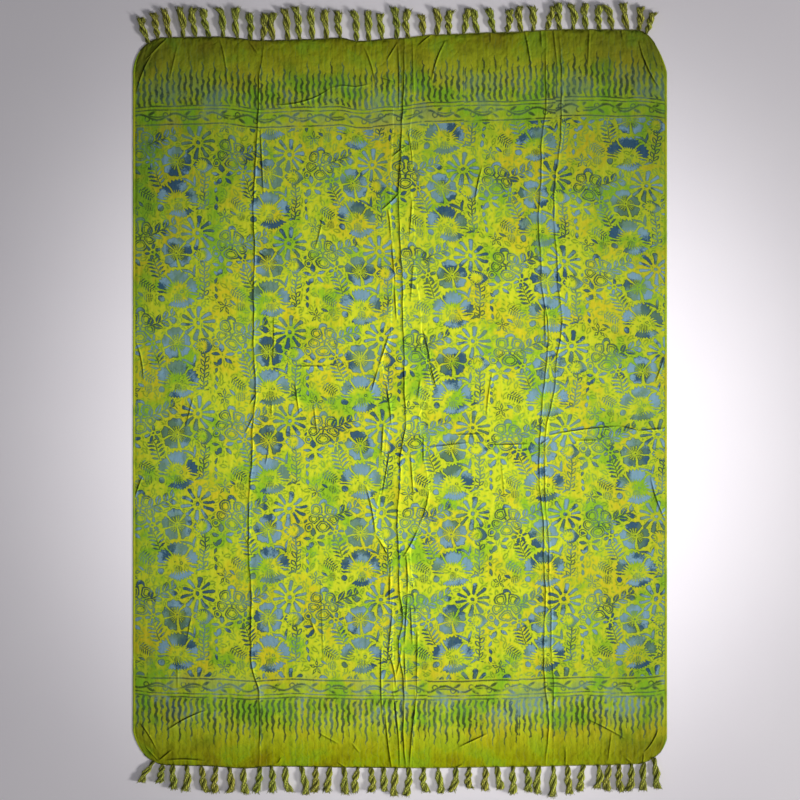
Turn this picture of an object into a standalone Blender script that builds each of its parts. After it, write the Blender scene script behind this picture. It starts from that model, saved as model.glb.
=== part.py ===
"""Fringed sarong laid out flat, at its real size (metres, +Z up, resting on z = 0).

The cloth is one rectangular panel with a rolled hem along each long side and a
row of twisted fringe locks at each end.  Flat cloth coordinates are (u, v): u
runs across the cloth and v along it, both from the middle, and place() gives the
point of the surface that a flat point of the cloth lies on.
"""

import math
from collections import namedtuple

import bmesh
import bpy

# Driving dimensions of the cut cloth
WIDTH = 1.150
LENGTH = 1.560
HALF_WIDTH = WIDTH / 2
HALF_LENGTH = LENGTH / 2

WALL = 0.0014
SEAM_GAP = 0.00045
HEM_WIDTH = 0.005
HEM_HEIGHT = 0.0024
HEM_TOP_INSET = 0.0010
STRIP_WIDTH = 0.006

# Grid of the panel
FILL_COLUMNS = (6, 6, 6, 5)
ROWS = 41
FOLD_FOOT = 0.0047
CROSS_FOOT = 0.0060

# Fringe locks
ROOT_WIDTH = 0.0076
NECK_RADIUS = 0.0036
BELLY_RADIUS = 0.0052
TIP_RADIUS = 0.0040
LOCK_CLEARANCE = 0.0005
LOCK_TWIST = math.radians(34)
LOCK_SWAY = 0.0016
LOCK_STATIONS = (0.09, 0.24, 0.41, 0.58, 0.74, 0.89, 1.0)

# The end edges: how far each lies from the middle of the cloth, across its width
Edge = namedtuple("Edge", "across reach")
TOP_EDGE = (
    Edge(-0.575, 0.7800),
    Edge(-0.388, 0.7826),
    Edge(-0.295, 0.7745),
    Edge(-0.192, 0.7770),
    Edge(-0.129, 0.7805),
    Edge(-0.091, 0.7730),
    Edge(-0.011, 0.7787),
    Edge(0.078, 0.7870),
    Edge(0.200, 0.7915),
    Edge(0.368, 0.7985),
    Edge(0.493, 0.7975),
    Edge(0.575, 0.7970),
)
BOTTOM_EDGE = (
    Edge(-0.575, -0.7850),
    Edge(-0.431, -0.7880),
    Edge(-0.334, -0.7935),
    Edge(-0.276, -0.7893),
    Edge(-0.065, -0.7920),
    Edge(0.052, -0.7930),
    Edge(0.243, -0.7905),
    Edge(0.426, -0.7868),
    Edge(0.575, -0.7820),
)

# The corners are drawn in: the side moves inward and the end edge falls back
Corner = namedtuple("Corner", "side end draw_in along curve drop across")
CORNERS = (
    Corner(-1, 1, 0.016, 0.065, 2.0, 0.027, 0.060),
    Corner(1, 1, 0.026, 0.080, 1.3, 0.030, 0.062),
    Corner(-1, -1, 0.025, 0.065, 1.6, 0.021, 0.070),
    Corner(1, -1, 0.013, 0.040, 1.6, 0.025, 0.060),
)
DRAW_REACH = 0.110
DROP_CURVE = 1.8
DROP_REACH = 0.090

# Pinched folds that run along the cloth, each a row of stations from top to bottom
Station = namedtuple("Station", "v u height")
LONG_FOLDS = {
    "left": (
        Station(0.773, -0.293, 0.0010),
        Station(0.689, -0.302, 0.0022),
        Station(0.579, -0.306, 0.0036),
        Station(0.442, -0.314, 0.0030),
        Station(0.332, -0.312, 0.0040),
        Station(0.159, -0.314, 0.0040),
        Station(0.028, -0.310, 0.0034),
        Station(-0.086, -0.317, 0.0042),
        Station(-0.258, -0.325, 0.0032),
        Station(-0.446, -0.319, 0.0036),
        Station(-0.549, -0.320, 0.0030),
        Station(-0.625, -0.301, 0.0034),
        Station(-0.780, -0.301, 0.0012),
    ),
    "centre_left": (
        Station(0.773, -0.015, 0.0006),
        Station(0.646, -0.015, 0.0018),
        Station(0.403, -0.022, 0.0024),
        Station(0.319, -0.014, 0.0026),
        Station(0.151, -0.020, 0.0028),
        Station(0.093, -0.038, 0.0030),
        Station(-0.022, -0.019, 0.0028),
        Station(-0.116, -0.032, 0.0030),
        Station(-0.258, -0.052, 0.0030),
        Station(-0.319, -0.030, 0.0028),
        Station(-0.405, -0.017, 0.0030),
        Station(-0.640, -0.014, 0.0026),
        Station(-0.780, -0.002, 0.0010),
    ),
    "centre": (
        Station(0.777, 0.011, 0.0012),
        Station(0.640, 0.008, 0.0032),
        Station(0.551, 0.003, 0.0036),
        Station(0.426, -0.002, 0.0042),
        Station(0.261, 0.006, 0.0044),
        Station(0.088, 0.010, 0.0044),
        Station(-0.037, 0.013, 0.0048),
        Station(-0.129, 0.002, 0.0050),
        Station(-0.239, -0.004, 0.0050),
        Station(-0.377, -0.001, 0.0048),
        Station(-0.459, 0.007, 0.0044),
        Station(-0.515, -0.002, 0.0044),
        Station(-0.599, 0.009, 0.0042),
        Station(-0.706, 0.009, 0.0034),
        Station(-0.785, 0.012, 0.0014),
    ),
    "centre_right": (
        Station(0.773, 0.026, 0.0006),
        Station(0.642, 0.026, 0.0018),
        Station(0.547, 0.021, 0.0022),
        Station(0.345, 0.030, 0.0016),
        Station(0.127, 0.047, 0.0026),
        Station(0.037, 0.065, 0.0026),
        Station(-0.039, 0.041, 0.0028),
        Station(-0.188, 0.062, 0.0030),
        Station(-0.261, 0.043, 0.0028),
        Station(-0.321, 0.022, 0.0026),
        Station(-0.483, 0.036, 0.0026),
        Station(-0.640, 0.033, 0.0024),
        Station(-0.788, 0.028, 0.0010),
    ),
    "right_a": (
        Station(0.780, 0.314, 0.0008),
        Station(0.640, 0.316, 0.0030),
        Station(0.526, 0.306, 0.0032),
        Station(0.360, 0.300, 0.0034),
        Station(0.261, 0.306, 0.0036),
        Station(0.127, 0.321, 0.0038),
        Station(-0.026, 0.307, 0.0034),
        Station(-0.127, 0.300, 0.0040),
        Station(-0.308, 0.311, 0.0038),
        Station(-0.431, 0.314, 0.0036),
        Station(-0.558, 0.310, 0.0034),
        Station(-0.681, 0.321, 0.0030),
        Station(-0.780, 0.315, 0.0012),
    ),
    "right_b": (
        Station(0.780, 0.344, 0.0008),
        Station(0.648, 0.350, 0.0030),
        Station(0.558, 0.347, 0.0032),
        Station(0.420, 0.332, 0.0028),
        Station(0.261, 0.340, 0.0032),
        Station(0.170, 0.350, 0.0034),
        Station(0.052, 0.337, 0.0034),
        Station(-0.084, 0.315, 0.0034),
        Station(-0.149, 0.312, 0.0020),
        Station(-0.343, 0.322, 0.0026),
        Station(-0.500, 0.327, 0.0024),
        Station(-0.640, 0.332, 0.0018),
        Station(-0.780, 0.330, 0.0006),
    ),
}
# Folds that share a bundle are set apart only by themselves, with no fill between
BUNDLES = (("left",), ("centre_left", "centre", "centre_right"), ("right_a", "right_b"))

# The fold pressed in across the middle of the right half
CrossStation = namedtuple("CrossStation", "u v height")
CROSS_FOLD = (
    CrossStation(0.070, -0.074, 0.0),
    CrossStation(0.118, -0.074, 0.0018),
    CrossStation(0.180, -0.080, 0.0020),
    CrossStation(0.235, -0.094, 0.0020),
    CrossStation(0.322, -0.080, 0.0026),
    CrossStation(0.474, -0.063, 0.0030),
    CrossStation(0.513, -0.073, 0.0026),
    CrossStation(0.560, -0.070, 0.0),
)

# Broad swells where the cloth doesn't lie down: corner folds and loose places
Swell = namedtuple("Swell", "u v angle length width height")
SWELLS = (
    Swell(0.530, -0.733, 62, 0.060, 0.020, 0.0050),
    Swell(0.530, 0.700, -52, 0.070, 0.018, 0.0036),
    Swell(-0.515, 0.745, 50, 0.060, 0.020, 0.0034),
    Swell(-0.535, -0.735, -48, 0.055, 0.020, 0.0034),
    Swell(0.560, -0.230, -60, 0.070, 0.022, 0.0028),
    Swell(-0.560, -0.190, 60, 0.060, 0.022, 0.0026),
    Swell(0.050, 0.735, 60, 0.050, 0.022, 0.0022),
    Swell(-0.170, 0.640, 10, 0.120, 0.020, 0.0018),
)
SWELL_FLOOR = 0.0003
EDGE_FADE = 0.030
END_FADE = 0.020

# Fringe locks: root across the cloth, lean of the tip, and reach of the tip
Lock = namedtuple("Lock", "root lean reach")
TOP_LOCKS = (
    Lock(-0.5505, -0.012, 0.826),
    Lock(-0.5260, -0.009, 0.836),
    Lock(-0.4953, -0.007, 0.844),
    Lock(-0.4665, -0.008, 0.848),
    Lock(-0.4395, -0.011, 0.847),
    Lock(-0.4107, -0.013, 0.845),
    Lock(-0.3808, -0.008, 0.847),
    Lock(-0.3491, -0.005, 0.848),
    Lock(-0.3222, -0.001, 0.836),
    Lock(-0.2966, 0.008, 0.834),
    Lock(-0.2722, -0.003, 0.836),
    Lock(-0.2414, -0.011, 0.845),
    Lock(-0.2154, -0.004, 0.850),
    Lock(-0.1876, -0.004, 0.846),
    Lock(-0.1581, -0.010, 0.843),
    Lock(-0.1281, -0.003, 0.840),
    Lock(-0.0935, -0.006, 0.841),
    Lock(-0.0665, -0.004, 0.840),
    Lock(-0.0377, -0.003, 0.834),
    Lock(-0.0078, -0.005, 0.849),
    Lock(0.0179, -0.005, 0.844),
    Lock(0.0508, -0.006, 0.831),
    Lock(0.0793, 0.002, 0.845),
    Lock(0.1062, 0.003, 0.841),
    Lock(0.1361, 0.006, 0.844),
    Lock(0.1671, -0.009, 0.843),
    Lock(0.2029, -0.011, 0.845),
    Lock(0.2300, 0.003, 0.842),
    Lock(0.2610, -0.003, 0.849),
    Lock(0.2864, -0.001, 0.849),
    Lock(0.3161, 0.012, 0.850),
    Lock(0.3441, -0.002, 0.857),
    Lock(0.3721, -0.002, 0.855),
    Lock(0.4006, -0.003, 0.856),
    Lock(0.4286, -0.004, 0.852),
    Lock(0.4566, -0.014, 0.852),
    Lock(0.4917, -0.010, 0.857),
    Lock(0.5200, -0.006, 0.848),
    Lock(0.5420, 0.005, 0.836),
)
BOTTOM_LOCKS = (
    Lock(-0.5420, -0.021, -0.825),
    Lock(-0.5160, -0.006, -0.826),
    Lock(-0.4895, 0.009, -0.840),
    Lock(-0.4587, -0.002, -0.844),
    Lock(-0.4273, 0.009, -0.847),
    Lock(-0.3954, -0.002, -0.848),
    Lock(-0.3676, 0.003, -0.848),
    Lock(-0.3349, 0.003, -0.850),
    Lock(-0.3011, -0.008, -0.848),
    Lock(-0.2769, 0.005, -0.847),
    Lock(-0.2455, 0.006, -0.846),
    Lock(-0.2126, 0.009, -0.852),
    Lock(-0.1800, 0.001, -0.847),
    Lock(-0.1499, -0.007, -0.847),
    Lock(-0.1210, -0.001, -0.851),
    Lock(-0.0896, -0.006, -0.848),
    Lock(-0.0627, 0.002, -0.846),
    Lock(-0.0347, -0.001, -0.844),
    Lock(-0.0075, -0.004, -0.855),
    Lock(0.0187, -0.006, -0.855),
    Lock(0.0517, 0.002, -0.846),
    Lock(0.0818, 0.006, -0.849),
    Lock(0.1206, -0.007, -0.846),
    Lock(0.1497, 0.001, -0.838),
    Lock(0.1835, -0.006, -0.843),
    Lock(0.2089, 0.010, -0.840),
    Lock(0.2434, 0.002, -0.851),
    Lock(0.2701, 0.004, -0.846),
    Lock(0.2998, -0.002, -0.850),
    Lock(0.3297, -0.002, -0.857),
    Lock(0.3607, 0.000, -0.851),
    Lock(0.3956, -0.008, -0.844),
    Lock(0.4266, 0.000, -0.838),
    Lock(0.4510, -0.007, -0.844),
    Lock(0.4710, 0.001, -0.846),
    Lock(0.4988, -0.006, -0.844),
    Lock(0.5296, -0.004, -0.843),
    Lock(0.5540, -0.004, -0.840),
)

Finish = namedtuple("Finish", "colour roughness")
PRINTED_RAYON = Finish((0.42, 0.52, 0.10, 1.0), 0.72)
PLAIN_RAYON = Finish((0.36, 0.46, 0.04, 1.0), 0.75)
TWISTED_YARN = Finish((0.27, 0.34, 0.03, 1.0), 0.85)


def read_table(rows, at):
    """Value of a table's second column, eased between the rows on each side of at."""
    ordered = sorted(rows, key=lambda row: row[0])
    if at <= ordered[0][0]:
        return ordered[0][1:]
    for low, high in zip(ordered, ordered[1:]):
        if at <= high[0]:
            part = (at - low[0]) / (high[0] - low[0])
            ease = part * part * (3 - 2 * part)
            return tuple(a + (b - a) * ease for a, b in zip(low[1:], high[1:]))
    return ordered[-1][1:]


def end_reach(x, end):
    """Where the end edge lies at x, before its corners fall back."""
    table = TOP_EDGE if end > 0 else BOTTOM_EDGE
    return read_table(table, x)[0]


def place(u, v):
    """The point of the surface that a flat point of the cloth lies on."""
    x = u
    for corner in CORNERS:
        from_end = HALF_LENGTH - corner.end * v
        inside = HALF_WIDTH - corner.side * u
        if from_end < corner.along and inside < DRAW_REACH:
            near = (1 - from_end / corner.along) ** corner.curve
            share = (1 - max(inside, 0.0) / DRAW_REACH) ** 2
            x -= corner.side * corner.draw_in * near * share
    top = end_reach(x, 1)
    bottom = end_reach(x, -1)
    y = bottom + (v + HALF_LENGTH) / LENGTH * (top - bottom)
    for corner in CORNERS:
        inside = HALF_WIDTH - corner.side * u
        from_end = HALF_LENGTH - corner.end * v
        if inside < corner.across:
            fall = corner.drop * (1 - inside / corner.across) ** DROP_CURVE
            y -= corner.end * fall * math.exp(-from_end / DROP_REACH)
    return x, y


def swell_height(u, v):
    """Lift of the broad swells, each a rounded hill longer than it is wide."""
    total = 0.0
    for swell in SWELLS:
        turn = math.radians(swell.angle)
        along = (u - swell.u) * math.cos(turn) + (v - swell.v) * math.sin(turn)
        aside = (v - swell.v) * math.cos(turn) - (u - swell.u) * math.sin(turn)
        total += swell.height * math.exp(-(along / swell.length) ** 2 - (aside / swell.width) ** 2)
    return max(total - SWELL_FLOOR, 0.0)


def edge_fade(u, v):
    """One well inside the panel, falling to nought at its borders, which lie flat."""
    to_side = HALF_WIDTH - HEM_WIDTH - SEAM_GAP - abs(u)
    to_end = HALF_LENGTH - STRIP_WIDTH - SEAM_GAP - abs(v)
    side = min(max(to_side / EDGE_FADE, 0.0), 1.0)
    end = min(max(to_end / END_FADE, 0.0), 1.0)
    return side * end


def panel_half_width():
    return HALF_WIDTH - HEM_WIDTH - SEAM_GAP


def panel_half_length():
    return HALF_LENGTH - STRIP_WIDTH - SEAM_GAP


def columns_at(v):
    """The panel's grid columns at v, left to right: pairs of u and fold height."""
    columns = [(-panel_half_width(), 0.0)]
    for bundle, fill in zip(BUNDLES, FILL_COLUMNS):
        crests = [read_table(LONG_FOLDS[name], v) for name in bundle]
        first_foot = crests[0][0] - FOLD_FOOT
        start = columns[-1][0]
        for step in range(1, fill + 1):
            columns.append((start + (first_foot - start) * step / (fill + 1), 0.0))
        for index, (u, height) in enumerate(crests):
            if index == 0:
                columns.append((u - FOLD_FOOT, 0.0))
            else:
                columns.append(((u + crests[index - 1][0]) / 2, 0.0))
            columns.append((u, height))
        columns.append((crests[-1][0] + FOLD_FOOT, 0.0))
    start = columns[-1][0]
    for step in range(1, FILL_COLUMNS[-1] + 1):
        share = step / (FILL_COLUMNS[-1] + 1)
        columns.append((start + (panel_half_width() - start) * share, 0.0))
    columns.append((panel_half_width(), 0.0))
    return columns


def row_levels():
    """The panel's grid rows, bottom to top: pairs of level and place in the cross fold."""
    level = -panel_half_length()
    step = 2 * panel_half_length() / (ROWS - 1)
    levels = [(level + step * index, None) for index in range(ROWS)]
    middle = CROSS_FOLD[2].v
    nearest = min(range(1, ROWS - 1), key=lambda index: abs(levels[index][0] - middle))
    folded = [(middle, side) for side in (-1, 0, 1)]
    return levels[:nearest] + folded + levels[nearest + 1:]


def cross_level(u, side):
    """Level and height of a row of the cross fold: its feet, or its crest at side 0."""
    v, height = read_table(CROSS_FOLD, u)
    return v + side * CROSS_FOOT, height if side == 0 else 0.0


def material(name, finish):
    made = bpy.data.materials.new(name)
    made.use_nodes = True
    shader = made.node_tree.nodes["Principled BSDF"]
    shader.inputs["Base Color"].default_value = finish.colour
    shader.inputs["Roughness"].default_value = finish.roughness
    shader.inputs["Metallic"].default_value = 0.0
    made.diffuse_color = finish.colour
    return made


def finish_object(name, shape, finish, parent):
    """Turn a bmesh into a named object with its own material, shaded smooth."""
    bmesh.ops.recalc_face_normals(shape, faces=shape.faces[:])
    mesh = bpy.data.meshes.new(name)
    shape.to_mesh(mesh)
    shape.free()
    mesh.materials.append(material(name, finish))
    mesh.shade_smooth()
    mesh.set_sharp_from_angle(angle=math.radians(50))
    made = bpy.data.objects.new(name, mesh)
    made.parent = parent
    bpy.context.collection.objects.link(made)
    return made


def raise_wall(shape, faces, height):
    """Extrude a sheet that faces down into a wall that stands height above it."""
    grown = bmesh.ops.extrude_face_region(shape, geom=faces)
    points = [item for item in grown["geom"] if isinstance(item, bmesh.types.BMVert)]
    bmesh.ops.translate(shape, vec=(0.0, 0.0, height), verts=points)


def add_panel(parent):
    """The cloth wall: a resting sheet that lifts along the folds, extruded upwards."""
    shape = bmesh.new()
    grid = []
    for level, side in row_levels():
        row = []
        for u, fold_height in columns_at(level):
            v, cross_height = (level, 0.0) if side is None else cross_level(u, side)
            lift = max(fold_height, cross_height) + swell_height(u, v)
            x, y = place(u, v)
            row.append(shape.verts.new((x, y, lift * edge_fade(u, v))))
        grid.append(row)
    faces = []
    for below, above in zip(grid, grid[1:]):
        for i in range(len(below) - 1):
            faces.append(shape.faces.new((below[i], above[i], above[i + 1], below[i + 1])))
    raise_wall(shape, faces, WALL)
    return finish_object("panel", shape, PRINTED_RAYON, parent)


def add_hem(name, side, parent):
    """A rolled hem: a flattened four-sided section carried along one side edge."""
    inner = HALF_WIDTH - HEM_WIDTH
    section = (
        (inner, 0.0),
        (HALF_WIDTH, 0.0),
        (HALF_WIDTH - HEM_TOP_INSET, HEM_HEIGHT),
        (inner + HEM_TOP_INSET, HEM_HEIGHT),
    )
    shape = bmesh.new()
    rings = []
    for index in range(ROWS):
        v = -panel_half_length() + 2 * panel_half_length() * index / (ROWS - 1)
        ring = []
        for across, height in section:
            x, y = place(side * across, v)
            ring.append(shape.verts.new((x, y, height)))
        rings.append(ring)
    for ring, following in zip(rings, rings[1:]):
        for i in range(4):
            j = (i + 1) % 4
            shape.faces.new((ring[i], ring[j], following[j], following[i]))
    shape.faces.new(rings[0])
    shape.faces.new(rings[-1])
    return finish_object(name, shape, PLAIN_RAYON, parent)


def lock_ring(lock, index, start, part):
    """The four corners of a lock's square section at part of its way to the tip."""
    tip_x = lock.root + lock.lean
    sway = LOCK_SWAY * math.sin(index * 2.4) * math.sin(math.pi * part)
    x = start[0] + (tip_x - start[0]) * part + sway
    y = start[1] + (lock.reach - start[1]) * part
    if part < 0.5:
        radius = NECK_RADIUS + (BELLY_RADIUS - NECK_RADIUS) * math.sin(math.pi * part)
    else:
        radius = TIP_RADIUS + (BELLY_RADIUS - TIP_RADIUS) * math.sin(math.pi * part)
    height = LOCK_CLEARANCE + radius
    turn = LOCK_TWIST * LOCK_STATIONS.index(part)
    corners = []
    for quarter in range(4):
        angle = turn + math.pi / 4 + quarter * math.pi / 2
        corners.append((x + radius * math.cos(angle), y, height + radius * math.sin(angle)))
    return corners


def inner_stations(end):
    """Flat u of the strip's inner edge, the same as the panel's and hems' corners."""
    us = [u for u, _ in columns_at(end * panel_half_length())]
    inner = HALF_WIDTH - HEM_WIDTH
    return [-HALF_WIDTH, -inner] + us + [inner, HALF_WIDTH]


def add_fringe(name, locks, end, parent):
    """A narrow edge strip, with a twisted lock extruded from it at every root."""
    shape = bmesh.new()
    edge_v = end * HALF_LENGTH
    inner_v = end * (HALF_LENGTH - STRIP_WIDTH)
    inner = [shape.verts.new((*place(u, inner_v), 0.0)) for u in inner_stations(end)]
    outer = [shape.verts.new((*place(-HALF_WIDTH, edge_v), 0.0))]
    roots = []
    for lock in locks:
        pair = []
        for side in (-1, 1):
            u = lock.root + side * ROOT_WIDTH / 2
            pair.append(shape.verts.new((*place(u, edge_v), 0.0)))
        outer += pair
        roots.append(pair)
    outer.append(shape.verts.new((*place(HALF_WIDTH, edge_v), 0.0)))
    sheet = shape.faces.new(inner + outer[::-1])
    raise_wall(shape, [sheet], WALL)
    for index, (lock, (left, right)) in enumerate(zip(locks, roots)):
        edge = shape.edges.get((left, right))
        wall = next(face for face in edge.link_faces if len(face.verts) == 4)
        grow_lock(shape, wall, lock, index)
    return finish_object(name, shape, TWISTED_YARN, parent)


def grow_lock(shape, face, lock, index):
    """Extrude a root face outwards, ring by ring, to the lock's tip."""
    middle = face.calc_center_median()
    start = (middle.x, middle.y)
    for part in LOCK_STATIONS:
        face = bmesh.ops.extrude_discrete_faces(shape, faces=[face])["faces"][0]
        corners = lock_ring(lock, index, start, part)
        if part == LOCK_STATIONS[0]:
            order = order_corners(face, corners)
        for vert, corner in zip(face.verts, [corners[i] for i in order]):
            vert.co = corner


def order_corners(face, corners):
    """Match the root face's corners to the ring's, going round the same way."""
    options = []
    for direction in (1, -1):
        for first in range(4):
            order = [(first + direction * i) % 4 for i in range(4)]
            span = sum(
                (vert.co.x - corners[i][0]) ** 2 + (vert.co.z - corners[i][2]) ** 2
                for vert, i in zip(face.verts, order)
            )
            options.append((span, order))
    return min(options)[1]


def main():
    for item in list(bpy.data.objects):
        bpy.data.objects.remove(item, do_unlink=True)
    root = bpy.data.objects.new("sarong", None)
    bpy.context.collection.objects.link(root)
    add_panel(root)
    add_hem("hem_left", -1, root)
    add_hem("hem_right", 1, root)
    add_fringe("fringe_top", TOP_LOCKS, 1, root)
    add_fringe("fringe_bottom", BOTTOM_LOCKS, -1, root)


main()
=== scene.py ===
"""Looks of a fringed batik sarong that lies flat, seen from straight above.

The cloth, its two rolled side hems and its two fringes are built as thin, full-detail
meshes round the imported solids.  Flat cloth places are (u, v) in metres, u across the
cloth and v along it, both from the middle.  ClothLay puts them on the surface.
"""

import logging
import math
from abc import ABC, abstractmethod
from dataclasses import dataclass, field
from enum import Enum
from functools import partial, reduce
from typing import Callable, Dict, List, NamedTuple, Sequence, Tuple, Union

import bpy
import numpy as np
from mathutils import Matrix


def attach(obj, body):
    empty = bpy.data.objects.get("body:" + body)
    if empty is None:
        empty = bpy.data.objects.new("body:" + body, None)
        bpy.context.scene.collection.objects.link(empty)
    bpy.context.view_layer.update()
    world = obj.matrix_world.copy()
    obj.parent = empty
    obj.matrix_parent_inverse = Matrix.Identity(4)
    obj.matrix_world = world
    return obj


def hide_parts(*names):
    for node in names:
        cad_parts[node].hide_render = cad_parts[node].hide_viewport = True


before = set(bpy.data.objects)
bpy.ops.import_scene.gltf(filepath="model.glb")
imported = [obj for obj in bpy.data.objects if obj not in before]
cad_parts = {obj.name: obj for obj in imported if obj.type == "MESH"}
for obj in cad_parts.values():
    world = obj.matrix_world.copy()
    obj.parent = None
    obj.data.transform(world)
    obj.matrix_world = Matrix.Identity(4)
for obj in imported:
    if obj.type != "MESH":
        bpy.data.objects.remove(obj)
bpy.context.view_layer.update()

LOG = logging.getLogger("sarong")

Array = np.ndarray
Span = Tuple[float, float]
Point = Tuple[float, float, float]
Colour = Tuple[float, float, float, float]

# The cut cloth, the same as the solids
WIDTH = 1.150
LENGTH = 1.560
HALF_WIDTH = WIDTH / 2
HALF_LENGTH = LENGTH / 2

# One pixel of the 800-pixel photograph, on the surface that the cloth lies on
PIXEL = 0.0021536
PHOTO_MIDDLE = 400
MM = 0.001


class End(Enum):
    """The two fringed ends of the cloth."""

    TOP = 1
    BOTTOM = -1


class Side(Enum):
    """The two hemmed sides of the cloth."""

    LEFT = -1
    RIGHT = 1


class Edge(NamedTuple):
    """How far an end edge lies from the middle, at a place across the cloth."""

    across: float
    reach: float


class Corner(NamedTuple):
    """A drawn-in corner: the side moves inward and the end edge falls back."""

    side: int
    end: int
    draw_in: float
    along: float
    curve: float
    drop: float
    across: float


class Station(NamedTuple):
    """A place on a long fold and its height there."""

    v: float
    u: float
    height: float


class FoldMark(NamedTuple):
    """How strongly a long fold stands up, and how dark the painted shade in the slot beside it is."""

    rise: float
    slot: float


class Wave(NamedTuple):
    """A sine wave: its swing, its rate, its start, and how far each next line shifts it."""

    swing: float
    rate: float
    start: float = 0.0
    shift: float = 0.0

    def at(self, place: Array, index: float = 0.0) -> Array:
        """The wave at places along its way."""
        return self.swing * np.sin(place * self.rate + (self.start + index * self.shift))


class Ripple(NamedTuple):
    """A soft ripple along the cloth; drift, meander and slant bend it off straight."""

    share: float
    rate: float
    drift: float
    meander: Wave
    slant: float


class Swell(NamedTuple):
    """A broad low hill in the cloth, longer than it is wide."""

    u: float
    v: float
    angle: float
    length: float
    width: float
    height: float


class Crease(NamedTuple):
    """A short pinched crease between two photograph pixels; bow in pixels, height in mm."""

    x0: float
    y0: float
    x1: float
    y1: float
    bow: float
    height: float


class Lock(NamedTuple):
    """A fringe lock: its root across the cloth, the tip's lean and the tip's reach."""

    root: float
    lean: float
    reach: float


TOP_EDGE = (
    Edge(-0.575, 0.7800),
    Edge(-0.388, 0.7826),
    Edge(-0.295, 0.7745),
    Edge(-0.192, 0.7770),
    Edge(-0.129, 0.7805),
    Edge(-0.091, 0.7730),
    Edge(-0.011, 0.7787),
    Edge(0.078, 0.7870),
    Edge(0.200, 0.7915),
    Edge(0.368, 0.7985),
    Edge(0.493, 0.7975),
    Edge(0.575, 0.7970),
)
BOTTOM_EDGE = (
    Edge(-0.575, -0.7850),
    Edge(-0.431, -0.7880),
    Edge(-0.334, -0.7935),
    Edge(-0.276, -0.7893),
    Edge(-0.065, -0.7920),
    Edge(0.052, -0.7930),
    Edge(0.243, -0.7905),
    Edge(0.426, -0.7868),
    Edge(0.575, -0.7820),
)
CORNERS = (
    Corner(-1, 1, 0.016, 0.065, 2.0, 0.027, 0.060),
    Corner(1, 1, 0.026, 0.080, 1.3, 0.030, 0.062),
    Corner(-1, -1, 0.025, 0.065, 1.6, 0.021, 0.070),
    Corner(1, -1, 0.013, 0.040, 1.6, 0.025, 0.060),
)
DRAW_REACH = 0.110
DROP_CURVE = 1.8
DROP_REACH = 0.090

LONG_FOLDS = tuple(tuple(Station(*row) for row in fold) for fold in (
    (
        (0.773, -0.293, 0.0010), (0.689, -0.302, 0.0022), (0.579, -0.306, 0.0036),
        (0.442, -0.314, 0.0030), (0.332, -0.312, 0.0040), (0.159, -0.314, 0.0040),
        (0.028, -0.310, 0.0034), (-0.086, -0.317, 0.0042), (-0.258, -0.325, 0.0032),
        (-0.446, -0.319, 0.0036), (-0.549, -0.320, 0.0030), (-0.625, -0.301, 0.0034),
        (-0.780, -0.301, 0.0012),
    ),
    (
        (0.773, -0.015, 0.0006), (0.646, -0.015, 0.0018), (0.403, -0.022, 0.0024),
        (0.319, -0.014, 0.0026), (0.151, -0.020, 0.0028), (0.093, -0.038, 0.0030),
        (-0.022, -0.019, 0.0028), (-0.116, -0.032, 0.0030), (-0.258, -0.052, 0.0030),
        (-0.319, -0.030, 0.0028), (-0.405, -0.017, 0.0030), (-0.640, -0.014, 0.0026),
        (-0.780, -0.002, 0.0010),
    ),
    (
        (0.777, 0.011, 0.0012), (0.640, 0.008, 0.0032), (0.551, 0.003, 0.0036),
        (0.426, -0.002, 0.0042), (0.261, 0.006, 0.0044), (0.088, 0.010, 0.0044),
        (-0.037, 0.013, 0.0048), (-0.129, 0.002, 0.0050), (-0.239, -0.004, 0.0050),
        (-0.377, -0.001, 0.0048), (-0.459, 0.007, 0.0044), (-0.515, -0.002, 0.0044),
        (-0.599, 0.009, 0.0042), (-0.706, 0.009, 0.0034), (-0.785, 0.012, 0.0014),
    ),
    (
        (0.773, 0.026, 0.0006), (0.642, 0.026, 0.0018), (0.547, 0.021, 0.0022),
        (0.345, 0.030, 0.0016), (0.127, 0.047, 0.0026), (0.037, 0.065, 0.0026),
        (-0.039, 0.041, 0.0028), (-0.188, 0.062, 0.0030), (-0.261, 0.043, 0.0028),
        (-0.321, 0.022, 0.0026), (-0.483, 0.036, 0.0026), (-0.640, 0.033, 0.0024),
        (-0.788, 0.028, 0.0010),
    ),
    (
        (0.780, 0.314, 0.0008), (0.640, 0.316, 0.0030), (0.526, 0.306, 0.0032),
        (0.360, 0.300, 0.0034), (0.261, 0.306, 0.0036), (0.127, 0.321, 0.0038),
        (-0.026, 0.307, 0.0034), (-0.127, 0.300, 0.0040), (-0.308, 0.311, 0.0038),
        (-0.431, 0.314, 0.0036), (-0.558, 0.310, 0.0034), (-0.681, 0.321, 0.0030),
        (-0.780, 0.315, 0.0012),
    ),
    (
        (0.780, 0.344, 0.0008), (0.648, 0.350, 0.0030), (0.558, 0.347, 0.0032),
        (0.420, 0.332, 0.0028), (0.261, 0.340, 0.0032), (0.170, 0.350, 0.0034),
        (0.052, 0.337, 0.0034), (-0.084, 0.315, 0.0034), (-0.149, 0.312, 0.0020),
        (-0.343, 0.322, 0.0026), (-0.500, 0.327, 0.0024), (-0.640, 0.332, 0.0018),
        (-0.780, 0.330, 0.0006),
    ),
))

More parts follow.
